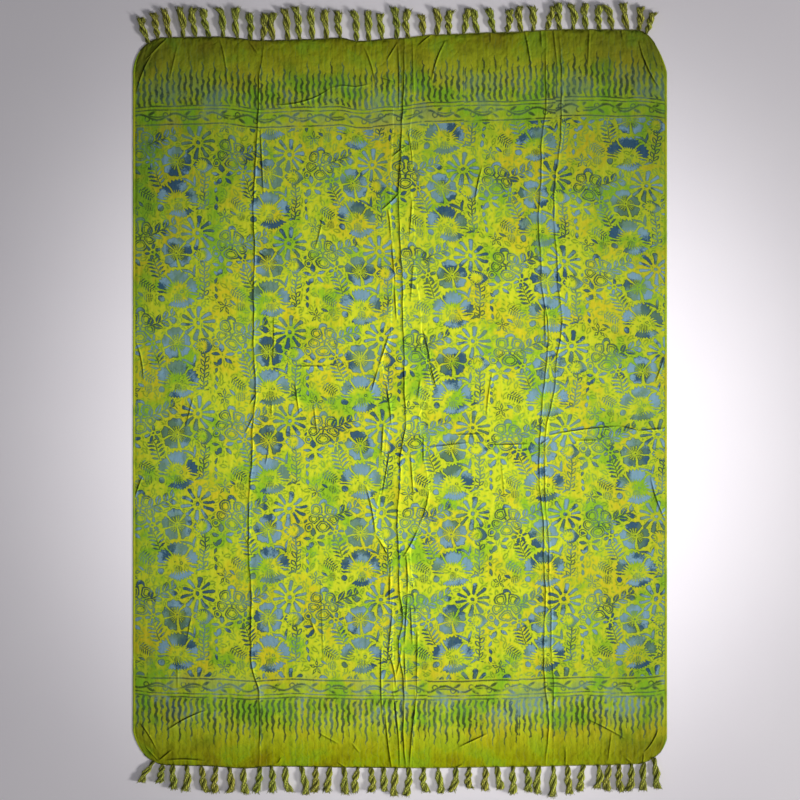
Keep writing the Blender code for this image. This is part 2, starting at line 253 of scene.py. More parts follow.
FOLD_WANDER = (Wave(0.0008, 43.0, 0.0, 1.7), Wave(0.0004, 131.0, 0.0, 1.0))
RIDGE_LEVEL = 0.82
RIDGE_BEAT = (Wave(0.26, 38.0, 0.0, 2.1), Wave(1.0, 91.0, 0.0, 1.0))
# Painted shade beside the long folds: its level, and how it comes and goes along each fold
PAINTED_SHADE_LEVEL = 0.86
PAINTED_SHADE_BEAT = (Wave(0.30, 41.0, 0.0, 3.1), Wave(0.22, 103.0, 0.0, 1.0))
RIPPLE_DRIFT = (Wave(0.010, 7.0), Wave(0.006, 17.0, 2.0))
RIPPLES = (
    Ripple(1.0, 142.0, 1.0, Wave(1.3, 9.0), 0.0),
    Ripple(0.7, 187.0, -1.0, Wave(2.1, 6.0, 1.0), 0.0),
    Ripple(0.6, 97.0, 0.0, Wave(0.0, 0.0), 21.0),
)

# In the order of the long folds; the two beside the middle one are mostly short creases
FOLD_MARKS = (
    FoldMark(1.25, 1.00),
    FoldMark(0.45, 0.00),
    FoldMark(1.30, 1.00),
    FoldMark(0.45, 0.00),
    FoldMark(0.95, 0.84),
    FoldMark(0.95, 0.80),
)

SWELLS = (
    Swell(0.530, -0.733, 62, 0.060, 0.020, 0.0050),
    Swell(0.530, 0.700, -52, 0.070, 0.018, 0.0036),
    Swell(-0.515, 0.745, 50, 0.060, 0.020, 0.0034),
    Swell(-0.535, -0.735, -48, 0.055, 0.020, 0.0034),
    Swell(0.560, -0.230, -60, 0.070, 0.022, 0.0028),
    Swell(-0.560, -0.190, 60, 0.060, 0.022, 0.0026),
    Swell(0.050, 0.735, 60, 0.050, 0.022, 0.0022),
    Swell(-0.170, 0.640, 10, 0.120, 0.020, 0.0018),
)

CREASES = tuple(Crease(*row) for row in (
    # upper band
    (220, 40, 227, 79, 1.5, 1.6), (249, 39, 258, 51, 0.0, 1.4), (364, 43, 376, 82, 1.5, 1.8),
    (398, 42, 387, 60, 0.0, 2.0), (380, 75, 393, 80, 0.0, 1.4), (436, 35, 418, 48, 0.0, 2.0),
    (446, 44, 432, 84, -2.0, 2.2), (491, 33, 491, 48, 0.0, 1.6), (524, 34, 532, 80, 1.0, 2.0),
    (541, 32, 542, 55, 0.0, 1.6), (553, 32, 558, 76, 0.0, 1.6), (590, 32, 588, 76, 0.0, 1.6),
    (621, 32, 623, 48, 0.0, 1.6), (641, 48, 660, 94, -4.0, 3.0), (167, 38, 145, 58, 1.0, 3.0),
    (154, 50, 136, 93, -2.0, 2.5), (178, 46, 170, 80, 0.0, 1.2), (275, 103, 331, 88, -5.0, 1.8),
    (331, 88, 370, 82, 0.0, 1.4),
    # field, left part
    (261, 125, 264, 192, 0.0, 2.2), (258, 247, 268, 255, 0.0, 2.0), (323, 214, 315, 248, 1.0, 1.6),
    (274, 313, 273, 359, 1.0, 1.4), (292, 364, 329, 364, 0.0, 1.4), (295, 378, 300, 412, 0.0, 1.8),
    (314, 400, 318, 433, 0.0, 1.6), (194, 395, 186, 426, 0.0, 1.6), (272, 398, 272, 413, 0.0, 1.4),
    (259, 387, 250, 401, 0.0, 2.0), (256, 408, 246, 429, 0.0, 1.8), (269, 446, 266, 461, 0.0, 1.4),
    (143, 475, 134, 499, 0.0, 3.0), (136, 339, 144, 380, 2.0, 2.0), (192, 612, 187, 641, 0.0, 1.4),
    (310, 613, 316, 628, 0.0, 1.6), (321, 575, 324, 659, 0.0, 1.0), (178, 654, 178, 686, 0.0, 1.0),
    # beside the centre folds
    (405, 146, 392, 156, 0.0, 2.4), (403, 122, 400, 158, 0.0, 2.2), (400, 158, 401, 190, 1.0, 2.4),
    (401, 190, 382, 208, 1.0, 3.4), (388, 207, 391, 236, 1.0, 2.4), (392, 240, 396, 282, 0.0, 2.6),
    (395, 282, 397, 318, 0.0, 2.2), (408, 128, 413, 168, 1.0, 1.8), (413, 196, 410, 236, 0.0, 1.8),
    (414, 262, 411, 300, 0.0, 1.6), (390, 331, 379, 364, 0.0, 2.8), (379, 364, 372, 388, 0.0, 2.4),
    (423, 328, 431, 364, 1.0, 2.4), (431, 364, 437, 387, 0.0, 2.6), (386, 376, 392, 427, 1.0, 2.8),
    (421, 377, 418, 397, 0.0, 1.8), (384, 420, 382, 452, 0.0, 2.4), (424, 434, 424, 461, 0.0, 2.4),
    (390, 448, 383, 490, 0.0, 2.6), (411, 449, 414, 494, 0.0, 2.0), (366, 481, 376, 530, 1.5, 3.0),
    (376, 530, 391, 557, 1.0, 2.8), (430, 486, 419, 524, 1.5, 3.0), (419, 524, 403, 554, 1.0, 2.6),
    (391, 556, 390, 600, 0.0, 2.6), (406, 547, 408, 590, 1.0, 2.8), (408, 590, 405, 640, 0.0, 2.6),
    (393, 606, 389, 648, 0.0, 2.4), (389, 648, 396, 682, 2.0, 2.8), (402, 640, 396, 672, 1.0, 2.6),
    (405, 644, 406, 686, 0.0, 2.6), (393, 684, 400, 766, 2.0, 3.0), (418, 620, 417, 684, 0.0, 3.0),
    (411, 600, 413, 640, 0.0, 2.4), (382, 640, 383, 712, -1.0, 2.6),
    (386, 708, 393, 767, -1.0, 3.0), (398, 40, 399, 110, 1.0, 1.8), (413, 40, 414, 100, 0.0, 1.6),
    (418, 684, 410, 762, -1.0, 3.0),
    # field, right part
    (483, 169, 475, 208, -1.0, 2.0), (493, 372, 487, 417, -1.0, 1.6),
    (455, 434, 483, 434, 0.0, 1.6), (425, 446, 470, 442, 0.0, 1.6), (488, 445, 529, 445, 0.0, 1.8),
    (545, 300, 546, 348, 0.0, 1.8), (549, 437, 620, 429, 1.0, 2.4), (620, 429, 638, 434, 0.0, 2.0),
    (638, 434, 666, 432, 0.0, 2.4), (576, 443, 597, 443, 0.0, 1.4), (549, 440, 539, 447, 0.0, 2.0),
    (502, 463, 505, 496, 0.0, 1.0), (666, 358, 656, 386, 0.0, 2.0),
    (651, 479, 667, 524, -2.0, 3.0),
    # lower band
    (140, 722, 156, 747, 2.0, 2.6), (143, 747, 156, 759, 0.0, 2.0), (156, 759, 172, 747, 0.0, 2.4),
    (164, 758, 206, 758, 2.0, 2.4), (167, 728, 207, 707, 2.0, 2.4), (282, 753, 277, 760, 0.0, 1.4),
    (337, 756, 350, 764, 0.0, 1.6), (318, 727, 339, 738, 0.0, 1.6), (352, 737, 360, 747, 0.0, 1.4),
    (459, 742, 488, 729, 0.0, 2.6), (463, 759, 451, 765, 0.0, 2.0), (566, 743, 566, 764, 0.0, 1.4),
    (588, 716, 625, 736, 1.0, 2.4), (612, 728, 608, 759, 0.0, 1.6), (626, 755, 632, 760, 0.0, 1.6),
    (658, 731, 644, 751, 2.0, 3.2), (644, 751, 645, 762, 0.0, 2.6),
))

TOP_LOCKS = tuple(Lock(*row) for row in (
    (-0.5505, -0.012, 0.826), (-0.5260, -0.009, 0.836), (-0.4953, -0.007, 0.844),
    (-0.4665, -0.008, 0.848), (-0.4395, -0.011, 0.847), (-0.4107, -0.013, 0.845),
    (-0.3808, -0.008, 0.847), (-0.3491, -0.005, 0.848), (-0.3222, -0.001, 0.836),
    (-0.2966, 0.008, 0.834), (-0.2722, -0.003, 0.836), (-0.2414, -0.011, 0.845),
    (-0.2154, -0.004, 0.850), (-0.1876, -0.004, 0.846), (-0.1581, -0.010, 0.843),
    (-0.1281, -0.003, 0.840), (-0.0935, -0.006, 0.841), (-0.0665, -0.004, 0.840),
    (-0.0377, -0.003, 0.834), (-0.0078, -0.005, 0.849), (0.0179, -0.005, 0.844),
    (0.0508, -0.006, 0.831), (0.0793, 0.002, 0.845), (0.1062, 0.003, 0.841),
    (0.1361, 0.006, 0.844), (0.1671, -0.009, 0.843), (0.2029, -0.011, 0.845),
    (0.2300, 0.003, 0.842), (0.2610, -0.003, 0.849), (0.2864, -0.001, 0.849),
    (0.3161, 0.012, 0.850), (0.3441, -0.002, 0.857), (0.3721, -0.002, 0.855),
    (0.4006, -0.003, 0.856), (0.4286, -0.004, 0.852), (0.4566, -0.014, 0.852),
    (0.4917, -0.010, 0.857), (0.5200, -0.006, 0.848), (0.5420, 0.005, 0.836),
))
BOTTOM_LOCKS = tuple(Lock(*row) for row in (
    (-0.5420, -0.021, -0.825), (-0.5160, -0.006, -0.826), (-0.4895, 0.009, -0.840),
    (-0.4587, -0.002, -0.844), (-0.4273, 0.009, -0.847), (-0.3954, -0.002, -0.848),
    (-0.3676, 0.003, -0.848), (-0.3349, 0.003, -0.850), (-0.3011, -0.008, -0.848),
    (-0.2769, 0.005, -0.847), (-0.2455, 0.006, -0.846), (-0.2126, 0.009, -0.852),
    (-0.1800, 0.001, -0.847), (-0.1499, -0.007, -0.847), (-0.1210, -0.001, -0.851),
    (-0.0896, -0.006, -0.848), (-0.0627, 0.002, -0.846), (-0.0347, -0.001, -0.844),
    (-0.0075, -0.004, -0.855), (0.0187, -0.006, -0.855), (0.0517, 0.002, -0.846),
    (0.0818, 0.006, -0.849), (0.1206, -0.007, -0.846), (0.1497, 0.001, -0.838),
    (0.1835, -0.006, -0.843), (0.2089, 0.010, -0.840), (0.2434, 0.002, -0.851),
    (0.2701, 0.004, -0.846), (0.2998, -0.002, -0.850), (0.3297, -0.002, -0.857),
    (0.3607, 0.000, -0.851), (0.3956, -0.008, -0.844), (0.4266, 0.000, -0.838),
    (0.4510, -0.007, -0.844), (0.4710, 0.001, -0.846), (0.4988, -0.006, -0.844),
    (0.5296, -0.004, -0.843), (0.5540, -0.004, -0.840),
))


def eased(rows: Sequence[Tuple[float, ...]], at: Array, column: int = 1) -> Array:
    """Read a column of a table, eased between the rows on each side.

    Args:
        rows: Table whose first column says where each row stands.
        at: Places to read the table at.
        column: The column to read.

    Returns:
        The column's values at those places.
    """
    ordered = sorted(rows, key=lambda row: row[0])
    stands = np.array([row[0] for row in ordered])
    values = np.array([row[column] for row in ordered])
    right = np.clip(np.searchsorted(stands, at), 1, len(stands) - 1)
    part = np.clip((at - stands[right - 1]) / (stands[right] - stands[right - 1]), 0.0, 1.0)
    ease = part * part * (3.0 - 2.0 * part)
    return values[right - 1] + (values[right] - values[right - 1]) * ease


@dataclass
class ClothLay:
    """How the flat cloth lies on the surface: its outline, folds and creases."""

    rest_height: float = 0.0010
    fold_width: float = 0.0016
    crease_width: float = 0.0015
    rise: float = 1.40
    tall: float = 0.0021
    # Where the painted shade beside folds and creases lies, and the painted highlight on their crests
    painted_shade_offset: float = 0.0021
    painted_shade_width: float = 0.0015
    painted_highlight_offset: float = 0.0007
    painted_highlight_width: float = 0.0012
    unlit: Span = (-0.95, 0.30)
    pucker_reach: float = 0.011
    pucker_share: float = 0.11
    taper_power: float = 0.6
    ripple_height: float = 0.00022
    ripple_end: float = 0.50
    ripple_run: float = 0.20
    ripple_more: float = 1.2
    side_run: float = 0.020
    end_run: float = 0.016
    end_share: float = 0.25

    def place(self, u: Array, v: Array) -> Tuple[Array, Array]:
        """Lay flat points down on the surface.

        Args:
            u: Places across the cloth.
            v: Places along the cloth.

        Returns:
            The x and y of the points.
        """
        x = np.array(u, float)
        for corner in CORNERS:
            from_end = HALF_LENGTH - corner.end * v
            inside = HALF_WIDTH - corner.side * u
            near = np.clip(1.0 - from_end / corner.along, 0.0, 1.0) ** corner.curve
            share = np.clip(1.0 - np.maximum(inside, 0.0) / DRAW_REACH, 0.0, 1.0) ** 2
            x = x - corner.side * corner.draw_in * near * share
        top = eased(TOP_EDGE, x)
        bottom = eased(BOTTOM_EDGE, x)
        y = bottom + (v + HALF_LENGTH) / LENGTH * (top - bottom)
        for corner in CORNERS:
            inside = HALF_WIDTH - corner.side * u
            from_end = HALF_LENGTH - corner.end * v
            fall = corner.drop * np.clip(1.0 - inside / corner.across, 0.0, 1.0) ** DROP_CURVE
            y = y - corner.end * fall * np.exp(-from_end / DROP_REACH)
        return x, y

    def crease_frame(self, crease: Crease, u: Array, v: Array) -> Tuple[Array, Array]:
        """Measure points from a crease's bowed line.

        Args:
            crease: The crease, in photograph pixels.
            u: Places across the cloth.
            v: Places along the cloth.

        Returns:
            The part of the way along the crease and the distance from its line.
        """
        u0 = (crease.x0 - PHOTO_MIDDLE) * PIXEL
        v0 = (PHOTO_MIDDLE - crease.y0) * PIXEL
        u1 = (crease.x1 - PHOTO_MIDDLE) * PIXEL
        v1 = (PHOTO_MIDDLE - crease.y1) * PIXEL
        span = math.hypot(u1 - u0, v1 - v0)
        du, dv = (u1 - u0) / span, (v1 - v0) / span
        along = ((u - u0) * du + (v - v0) * dv) / span
        aside = (v - v0) * du - (u - u0) * dv
        inner = np.clip(along, 0.0, 1.0)
        aside = aside - crease.bow * PIXEL * 4.0 * inner * (1.0 - inner)
        return along, aside

    def line_distance(self, u: Array, v: Array) -> Array:
        """Measure how far points lie from the nearest fold or crease.

        Args:
            u: Places across the cloth.
            v: Places along the cloth.

        Returns:
            The distances, in metres.
        """
        nearest = np.full(np.shape(u), 9.0)
        for fold in LONG_FOLDS:
            nearest = np.minimum(nearest, np.abs(u - eased(fold, v)))
        for crease in CREASES:
            along, aside = self.crease_frame(crease, u, v)
            span = math.hypot(crease.x1 - crease.x0, crease.y1 - crease.y0) * PIXEL
            beyond = np.maximum(np.abs(along - 0.5) - 0.5, 0.0) * span
            nearest = np.minimum(nearest, np.hypot(beyond, aside))
        return nearest

    def fold_wobble(self, index: int, v: Array) -> Array:
        """Small sideways wander of a long fold."""
        return sum(wave.at(v, index) for wave in FOLD_WANDER)

    def fold_lift(self, u: Array, v: Array) -> Array:
        """Lift of the long folds, each a narrow ridge on a low broad pucker.

        Args:
            u: Places across the cloth.
            v: Places along the cloth.

        Returns:
            The heights, in metres.
        """
        total = np.zeros(np.shape(u))
        for index, fold in enumerate(LONG_FOLDS):
            height = eased(fold, v, 2)
            aside = u - eased(fold, v) - self.fold_wobble(index, v)
            slow, quick = (wave.at(v, index) for wave in RIDGE_BEAT)
            beat = RIDGE_LEVEL + slow * quick
            ridge = np.exp(-((aside / self.fold_width) ** 2)) * beat
            pucker = np.exp(-((aside / self.pucker_reach) ** 2)) * self.pucker_share
            total = np.maximum(total, height * FOLD_MARKS[index].rise * (ridge + pucker))
        return total

    def crease_lift(self, u: Array, v: Array) -> Array:
        """Lift of the short creases, each tapering to nothing at its two ends.

        Args:
            u: Places across the cloth.
            v: Places along the cloth.

        Returns:
            The heights, in metres.
        """
        total = np.zeros(np.shape(u))
        for crease in CREASES:
            along, aside = self.crease_frame(crease, u, v)
            taper = np.clip(4.0 * along * (1.0 - along), 0.0, 1.0) ** self.taper_power
            ridge = np.exp(-((aside / self.crease_width) ** 2))
            pucker = np.exp(-((aside / self.pucker_reach) ** 2)) * self.pucker_share
            total = np.maximum(total, crease.height * MM * self.rise * taper * (ridge + pucker))
        return total

    def fold_shade_and_highlight(self, u: Array, v: Array) -> Tuple[Array, Array]:
        """Find the painted shade in the tight slot on the unlit side of folds and creases, and the painted
        highlight on their crests.

        Args:
            u: Places across the cloth.
            v: Places along the cloth.

        Returns:
            Painted shade from 0, none, to 1, and painted highlight on the crests from 0 to 1.
        """
        total = np.zeros(np.shape(u))
        painted_highlights = np.zeros(np.shape(u))
        for index, fold in enumerate(LONG_FOLDS):
            aside = u - eased(fold, v) - self.fold_wobble(index, v)
            slow, quick = (wave.at(v, index) for wave in PAINTED_SHADE_BEAT)
            beat = PAINTED_SHADE_LEVEL + slow + quick
            # Painted shade: a dark line in the slot on the fold's unlit side
            slot = np.exp(-(((aside + self.painted_shade_offset) / self.painted_shade_width) ** 2))
            share = np.clip(beat, 0.0, 1.0) * np.clip(eased(fold, v, 2) / self.tall, 0.0, 1.0)
            total = np.maximum(total, slot * share * FOLD_MARKS[index].slot)
            # Painted highlight on the fold's lit crest
            painted_highlight = np.exp(-(((aside - self.painted_highlight_offset) / self.painted_highlight_width) ** 2))
            painted_highlights = np.maximum(painted_highlights, painted_highlight * share)
        for crease in CREASES:
            along, aside = self.crease_frame(crease, u, v)
            facing = -self.unlit[0] * (crease.y0 - crease.y1) + self.unlit[1] * (crease.x1 - crease.x0)
            taper = np.clip(4.0 * along * (1.0 - along), 0.0, 1.0) ** self.taper_power
            # Painted shade: a dark line in the slot on the crease's unlit side
            shifted = aside - math.copysign(self.painted_shade_offset, facing)
            slot = np.exp(-((shifted / self.painted_shade_width) ** 2)) * taper
            share = min(crease.height * MM / self.tall, 1.0)
            total = np.maximum(total, slot * share)
            # Painted highlight on the crease's lit crest
            shifted = aside + math.copysign(self.painted_highlight_offset, facing)
            painted_highlights = np.maximum(painted_highlights, np.exp(-((shifted / self.painted_highlight_width) ** 2)) * taper * share)
        return total, painted_highlights

    def swell_lift(self, u: Array, v: Array) -> Array:
        """Lift of the broad swells at the corners and loose places.

        Args:
            u: Places across the cloth.
            v: Places along the cloth.

        Returns:
            The heights, in metres.
        """
        total = np.zeros(np.shape(u))
        for swell in SWELLS:
            turn = math.radians(swell.angle)
            along = (u - swell.u) * math.cos(turn) + (v - swell.v) * math.sin(turn)
            aside = (v - swell.v) * math.cos(turn) - (u - swell.u) * math.sin(turn)
            total += swell.height * np.exp(-((along / swell.length) ** 2) - (aside / swell.width) ** 2)
        return total

    def ripple_lift(self, u: Array, v: Array) -> Array:
        """Lift of the soft ripples that run along the cloth, strongest at its ends.

        Args:
            u: Places across the cloth.
            v: Places along the cloth.

        Returns:
            The heights, in metres.
        """
        drift = sum(wave.at(v) for wave in RIPPLE_DRIFT)
        waves = sum(
            ripple.share * np.sin((u + ripple.drift * drift) * ripple.rate
                                  + ripple.meander.at(v) + v * ripple.slant)
            for ripple in RIPPLES
        )
        ends = np.clip((np.abs(v) - self.ripple_end) / self.ripple_run, 0.0, 1.0)
        level = sum(ripple.share for ripple in RIPPLES)
        return self.ripple_height * (1.0 + self.ripple_more * ends) * (waves + level)

    def lift(self, u: Array, v: Array) -> Array:
        """Find the height of the cloth's upper face.

        Args:
            u: Places across the cloth.
            v: Places along the cloth.

        Returns:
            The heights above the surface, in metres.
        """
        to_side = np.clip((HALF_WIDTH - np.abs(u)) / self.side_run, 0.0, 1.0)
        to_end = np.clip((HALF_LENGTH - np.abs(v)) / self.end_run, 0.0, 1.0)
        hills = np.maximum(self.fold_lift(u, v), self.crease_lift(u, v)) + self.swell_lift(u, v)
        fade = to_side * (self.end_share + (1.0 - self.end_share) * to_end)
        return self.rest_height + fade * (hills + self.ripple_lift(u, v))

    def point(self, u: float, v: float) -> Tuple[float, float]:
        """The x and y of one flat point."""
        x, y = self.place(np.array([u]), np.array([v]))
        return float(x[0]), float(y[0])


def screen_colour(red: float, green: float, blue: float) -> Colour:
    """Turn a colour as a screen shows it, 0 to 255, into a shader colour.

    Args:
        red: Red as shown.
        green: Green as shown.
        blue: Blue as shown.

    Returns:
        The linear colour, with full alpha.
    """
    def linear(value: float) -> float:
        """One channel, made linear."""
        part = value / 255.0
        return part / 12.92 if part <= 0.04045 else ((part + 0.055) / 1.055) ** 2.4

    return linear(red), linear(green), linear(blue), 1.0


@dataclass
class Wire:
    """A value on its way through a node tree; arithmetic on it adds nodes."""

    graph: "Graph"
    socket: bpy.types.NodeSocket

    def __add__(self, other: "Value") -> "Wire":
        """Sum."""
        return self.graph.math("ADD", self, other)

    def __radd__(self, other: "Value") -> "Wire":
        """Sum, with a number on the left."""
        return self.graph.math("ADD", other, self)

    def __sub__(self, other: "Value") -> "Wire":
        """Difference."""
        return self.graph.math("SUBTRACT", self, other)

    def __rsub__(self, other: "Value") -> "Wire":
        """Difference, with a number on the left."""
        return self.graph.math("SUBTRACT", other, self)

    def __mul__(self, other: "Value") -> "Wire":
        """Product."""
        return self.graph.math("MULTIPLY", self, other)

    def __rmul__(self, other: "Value") -> "Wire":
        """Product, with a number on the left."""
        return self.graph.math("MULTIPLY", other, self)

    def __truediv__(self, other: "Value") -> "Wire":
        """Quotient."""
        return self.graph.math("DIVIDE", self, other)

    def __abs__(self) -> "Wire":
        """Size without sign."""
        return self.graph.math("ABSOLUTE", self)


Value = Union[Wire, float]
Vector = Union[Wire, Point]
Wires = Dict[str, Wire]


@dataclass
class Graph:
    """A node tree with short calls for the nodes that the finishes use."""

    tree: bpy.types.NodeTree

    def feed(self, socket: bpy.types.NodeSocket, value: Union[Wire, float, Sequence[float]]) -> None:
        """Link a wire to a socket, or set a plain value on it.

        Args:
            socket: The socket.
            value: The wire or the plain value.
        """
        if isinstance(value, Wire):
            self.tree.links.new(value.socket, socket)
        else:
            socket.default_value = value

    def node(self, kind: str, **settings: object) -> bpy.types.Node:
        """Add a node and set its options.

        Args:
            kind: The node's type name.
            settings: Its options by name.

        Returns:
            The new node.
        """
        made = self.tree.nodes.new(kind)
        for name, value in settings.items():
            setattr(made, name, value)
        return made

    def math(self, operation: str, *values: Value, clamp: bool = False) -> Wire:
        """Add a Math node.

        Args:
            operation: What it works out.
            values: Its inputs in order.
            clamp: Whether its result is kept between 0 and 1.

        Returns:
            The result.
        """
        made = self.node("ShaderNodeMath", operation=operation, use_clamp=clamp)
        for socket, value in zip(made.inputs, values):
            self.feed(socket, value)
        return Wire(self, made.outputs[0])

    def vector(self, operation: str, *values: Vector) -> Wire:
        """Add a Vector Math node; LENGTH and DOT_PRODUCT give a plain value.

        Args:
            operation: What it works out.
            values: Its inputs in order.

        Returns:
            The result.
        """
        made = self.node("ShaderNodeVectorMath", operation=operation)
        for socket, value in zip(made.inputs, values):
            self.feed(socket, value)
        plain = operation in ("LENGTH", "DOT_PRODUCT", "DISTANCE")
        return Wire(self, made.outputs["Value" if plain else "Vector"])

    def split(self, vector: Wire) -> Tuple[Wire, Wire]:
        """The x and y of a vector.

        Args:
            vector: The vector.

        Returns:
            Its x and its y.
        """
        made = self.node("ShaderNodeSeparateXYZ")
        self.feed(made.inputs[0], vector)
        return Wire(self, made.outputs[0]), Wire(self, made.outputs[1])

    def join(self, x: Value, y: Value) -> Wire:
        """A vector of x and y.

        Args:
            x: Its x.
            y: Its y.

        Returns:
            The vector.
        """
        made = self.node("ShaderNodeCombineXYZ")
        self.feed(made.inputs[0], x)
        self.feed(made.inputs[1], y)
        return Wire(self, made.outputs[0])

    def join3(self, value: Value) -> Wire:
        """A grey of one value.

        Args:
            value: How light it is.

        Returns:
            The grey.
        """
        made = self.node("ShaderNodeCombineColor")
        for socket in made.inputs[:3]:
            self.feed(socket, value)
        return Wire(self, made.outputs[0])

    def turned(self, vector: Wire, angle: Value) -> Wire:
        """A vector turned about the middle, in its own plane.

        Args:
            vector: The vector.
            angle: How far, in radians.

        Returns:
            The turned vector.
        """
        made = self.node("ShaderNodeVectorRotate", rotation_type="Z_AXIS")
        self.feed(made.inputs["Vector"], vector)
        self.feed(made.inputs["Angle"], angle)
        return Wire(self, made.outputs[0])

    def noise(self, vector: Vector, scale: float, detail: float = 2.0, rough: float = 0.5,
              output: str = "Fac") -> Wire:
        """Add a 2D Noise Texture.

        Args:
            vector: Where it is read, in metres.
            scale: Its waves in each metre.
            detail: How many finer layers it has.
            rough: How strong those layers are.
            output: "Fac" or "Color".

        Returns:
            The noise.
        """
        made = self.node("ShaderNodeTexNoise", noise_dimensions="2D")
        self.feed(made.inputs["Vector"], vector)
        made.inputs["Scale"].default_value = scale
        made.inputs["Detail"].default_value = detail
        made.inputs["Roughness"].default_value = rough
        return Wire(self, made.outputs[output])

    def mix(self, share: Value, first: Union[Wire, Colour], second: Union[Wire, Colour],
            blend: str = "MIX") -> Wire:
        """Mix two colours.

        Args:
            share: How much of the second.
            first: The first colour.
            second: The second colour.
            blend: How they mix.

        Returns:
            The mixed colour.
        """
        made = self.node("ShaderNodeMix", data_type="RGBA", blend_type=blend)
        self.feed(made.inputs[0], share)
        self.feed(made.inputs[6], first)
        self.feed(made.inputs[7], second)
        return Wire(self, made.outputs[2])

    def step(self, value: Value, low: float, high: float) -> Wire:
        """Rise from 0 to 1 as a value goes from low to high."""
        span = high - low
        return self.math("MULTIPLY_ADD", value, 1.0 / span, -low / span, clamp=True)

    def most(self, *values: Value) -> Wire:
        """The largest of several values."""
        return reduce(partial(self.math, "MAXIMUM"), values)

    def least(self, *values: Value) -> Wire:
        """The smallest of several values."""
        return reduce(partial(self.math, "MINIMUM"), values)


class Effect(ABC):
    """A surface effect kept as one shader node group and placed in several materials."""

    name: str = ""
    takes: Dict[str, str] = {}
    gives: Dict[str, str] = {}

    @abstractmethod
    def draw(self, graph: Graph, given: Wires) -> Wires:
        """Build the group's nodes."""

    def group(self) -> bpy.types.NodeTree:
        """Build the node group once.

        Returns:
            The group, which later calls find again by its name.
        """
        known = bpy.data.node_groups.get(self.name)
        if known:
            return known
        tree = bpy.data.node_groups.new(self.name, "ShaderNodeTree")
        for name, kind in self.takes.items():
            tree.interface.new_socket(name, in_out="INPUT", socket_type=kind)
        for name, kind in self.gives.items():
            tree.interface.new_socket(name, in_out="OUTPUT", socket_type=kind)
        graph = Graph(tree)
        entry = graph.node("NodeGroupInput")
        given = {name: Wire(graph, entry.outputs[name]) for name in self.takes}
        made = self.draw(graph, given)
        leave = graph.node("NodeGroupOutput")
        for name, wire in made.items():
            graph.feed(leave.inputs[name], wire)
        return tree

    def put(self, graph: Graph, **values: Union[Wire, float, Sequence[float]]) -> Dict[str, Wire]:
        """Place the group in a tree.

        Args:
            graph: The tree it goes in.
            values: Its inputs by name, with _ for a space.

        Returns:
            Its outputs by name.
        """
        made = graph.node("ShaderNodeGroup", node_tree=self.group())
        for name, value in values.items():
            graph.feed(made.inputs[name.replace("_", " ")], value)
        return {name: Wire(graph, made.outputs[name]) for name in self.gives}


class Grain(NamedTuple):
    """A noise's waves in each metre, its finer layers and how strong they are."""

    scale: float
    detail: float
    rough: float = 0.5


FLOAT = "NodeSocketFloat"
VECTOR = "NodeSocketVector"
COLOUR = "NodeSocketColor"


class DyeWash(Effect):
    """Uneven hand-dyed ground: lime with drifts of gold and clouds of green."""

    name = "dye_wash"
    takes = {"Flat": VECTOR, "Lime": COLOUR, "Gold": COLOUR, "Green": COLOUR, "Clouds": FLOAT}
    gives = {"Color": COLOUR, "Cloud": FLOAT}
    drift = Grain(9.0, 3.0, 0.55)
    cloud = Grain(12.0, 4.0, 0.62)
    cloud_shift = (3.1, 1.7, 0.0)
    gold_rise = (0.46, 0.62)
    gold_share = 0.62
    green_rise = (0.50, 0.66)

    def draw(self, graph: Graph, given: Wires) -> Wires:
        """Build the group's nodes.

        Args:
            graph: The group's tree.
            given: Its inputs by name.

        Returns:
            Its outputs by name.
        """
        flat = given["Flat"]
        drift = graph.noise(flat, *self.drift)
        cloud = graph.noise(graph.vector("ADD", flat, self.cloud_shift), *self.cloud)
        gold = graph.step(drift, *self.gold_rise)
        colour = graph.mix(gold * self.gold_share, given["Lime"], given["Gold"])
        green = graph.step(cloud, *self.green_rise) * given["Clouds"]
        colour = graph.mix(green, colour, given["Green"])
        return {"Color": colour, "Cloud": cloud}


class PlainWeave(Effect):
    """Fine plain weave with slubs: threads that cross over and under."""

    name = "plain_weave"
    takes = {"Flat": VECTOR, "Threads": FLOAT}
    gives = {"Height": FLOAT, "Shade": FLOAT}
    slub_stretch = (900.0, 40.0, 0.0)
    slub = Grain(1.0, 1.0, 0.5)
    thread_height = 0.5

    def draw(self, graph: Graph, given: Wires) -> Wires:
        """Build the group's nodes.

        Args:
            graph: The group's tree.
            given: Its inputs by name.

        Returns:
            Its outputs by name.
        """
        across, along = graph.split(given["Flat"])
        warp = graph.math("SINE", across * given["Threads"])
        weft = graph.math("SINE", along * given["Threads"])
        height = warp * weft
        stretched = graph.vector("MULTIPLY", given["Flat"], self.slub_stretch)
        slub = graph.noise(stretched, *self.slub)
        return {"Height": height * self.thread_height + slub, "Shade": slub}


class Slip(NamedTuple):
    """A row of the print whose blocks were set down off their line, from a column on."""

    row: float
    column: float
    shift: float


REPEAT = (197.3, 190.0)


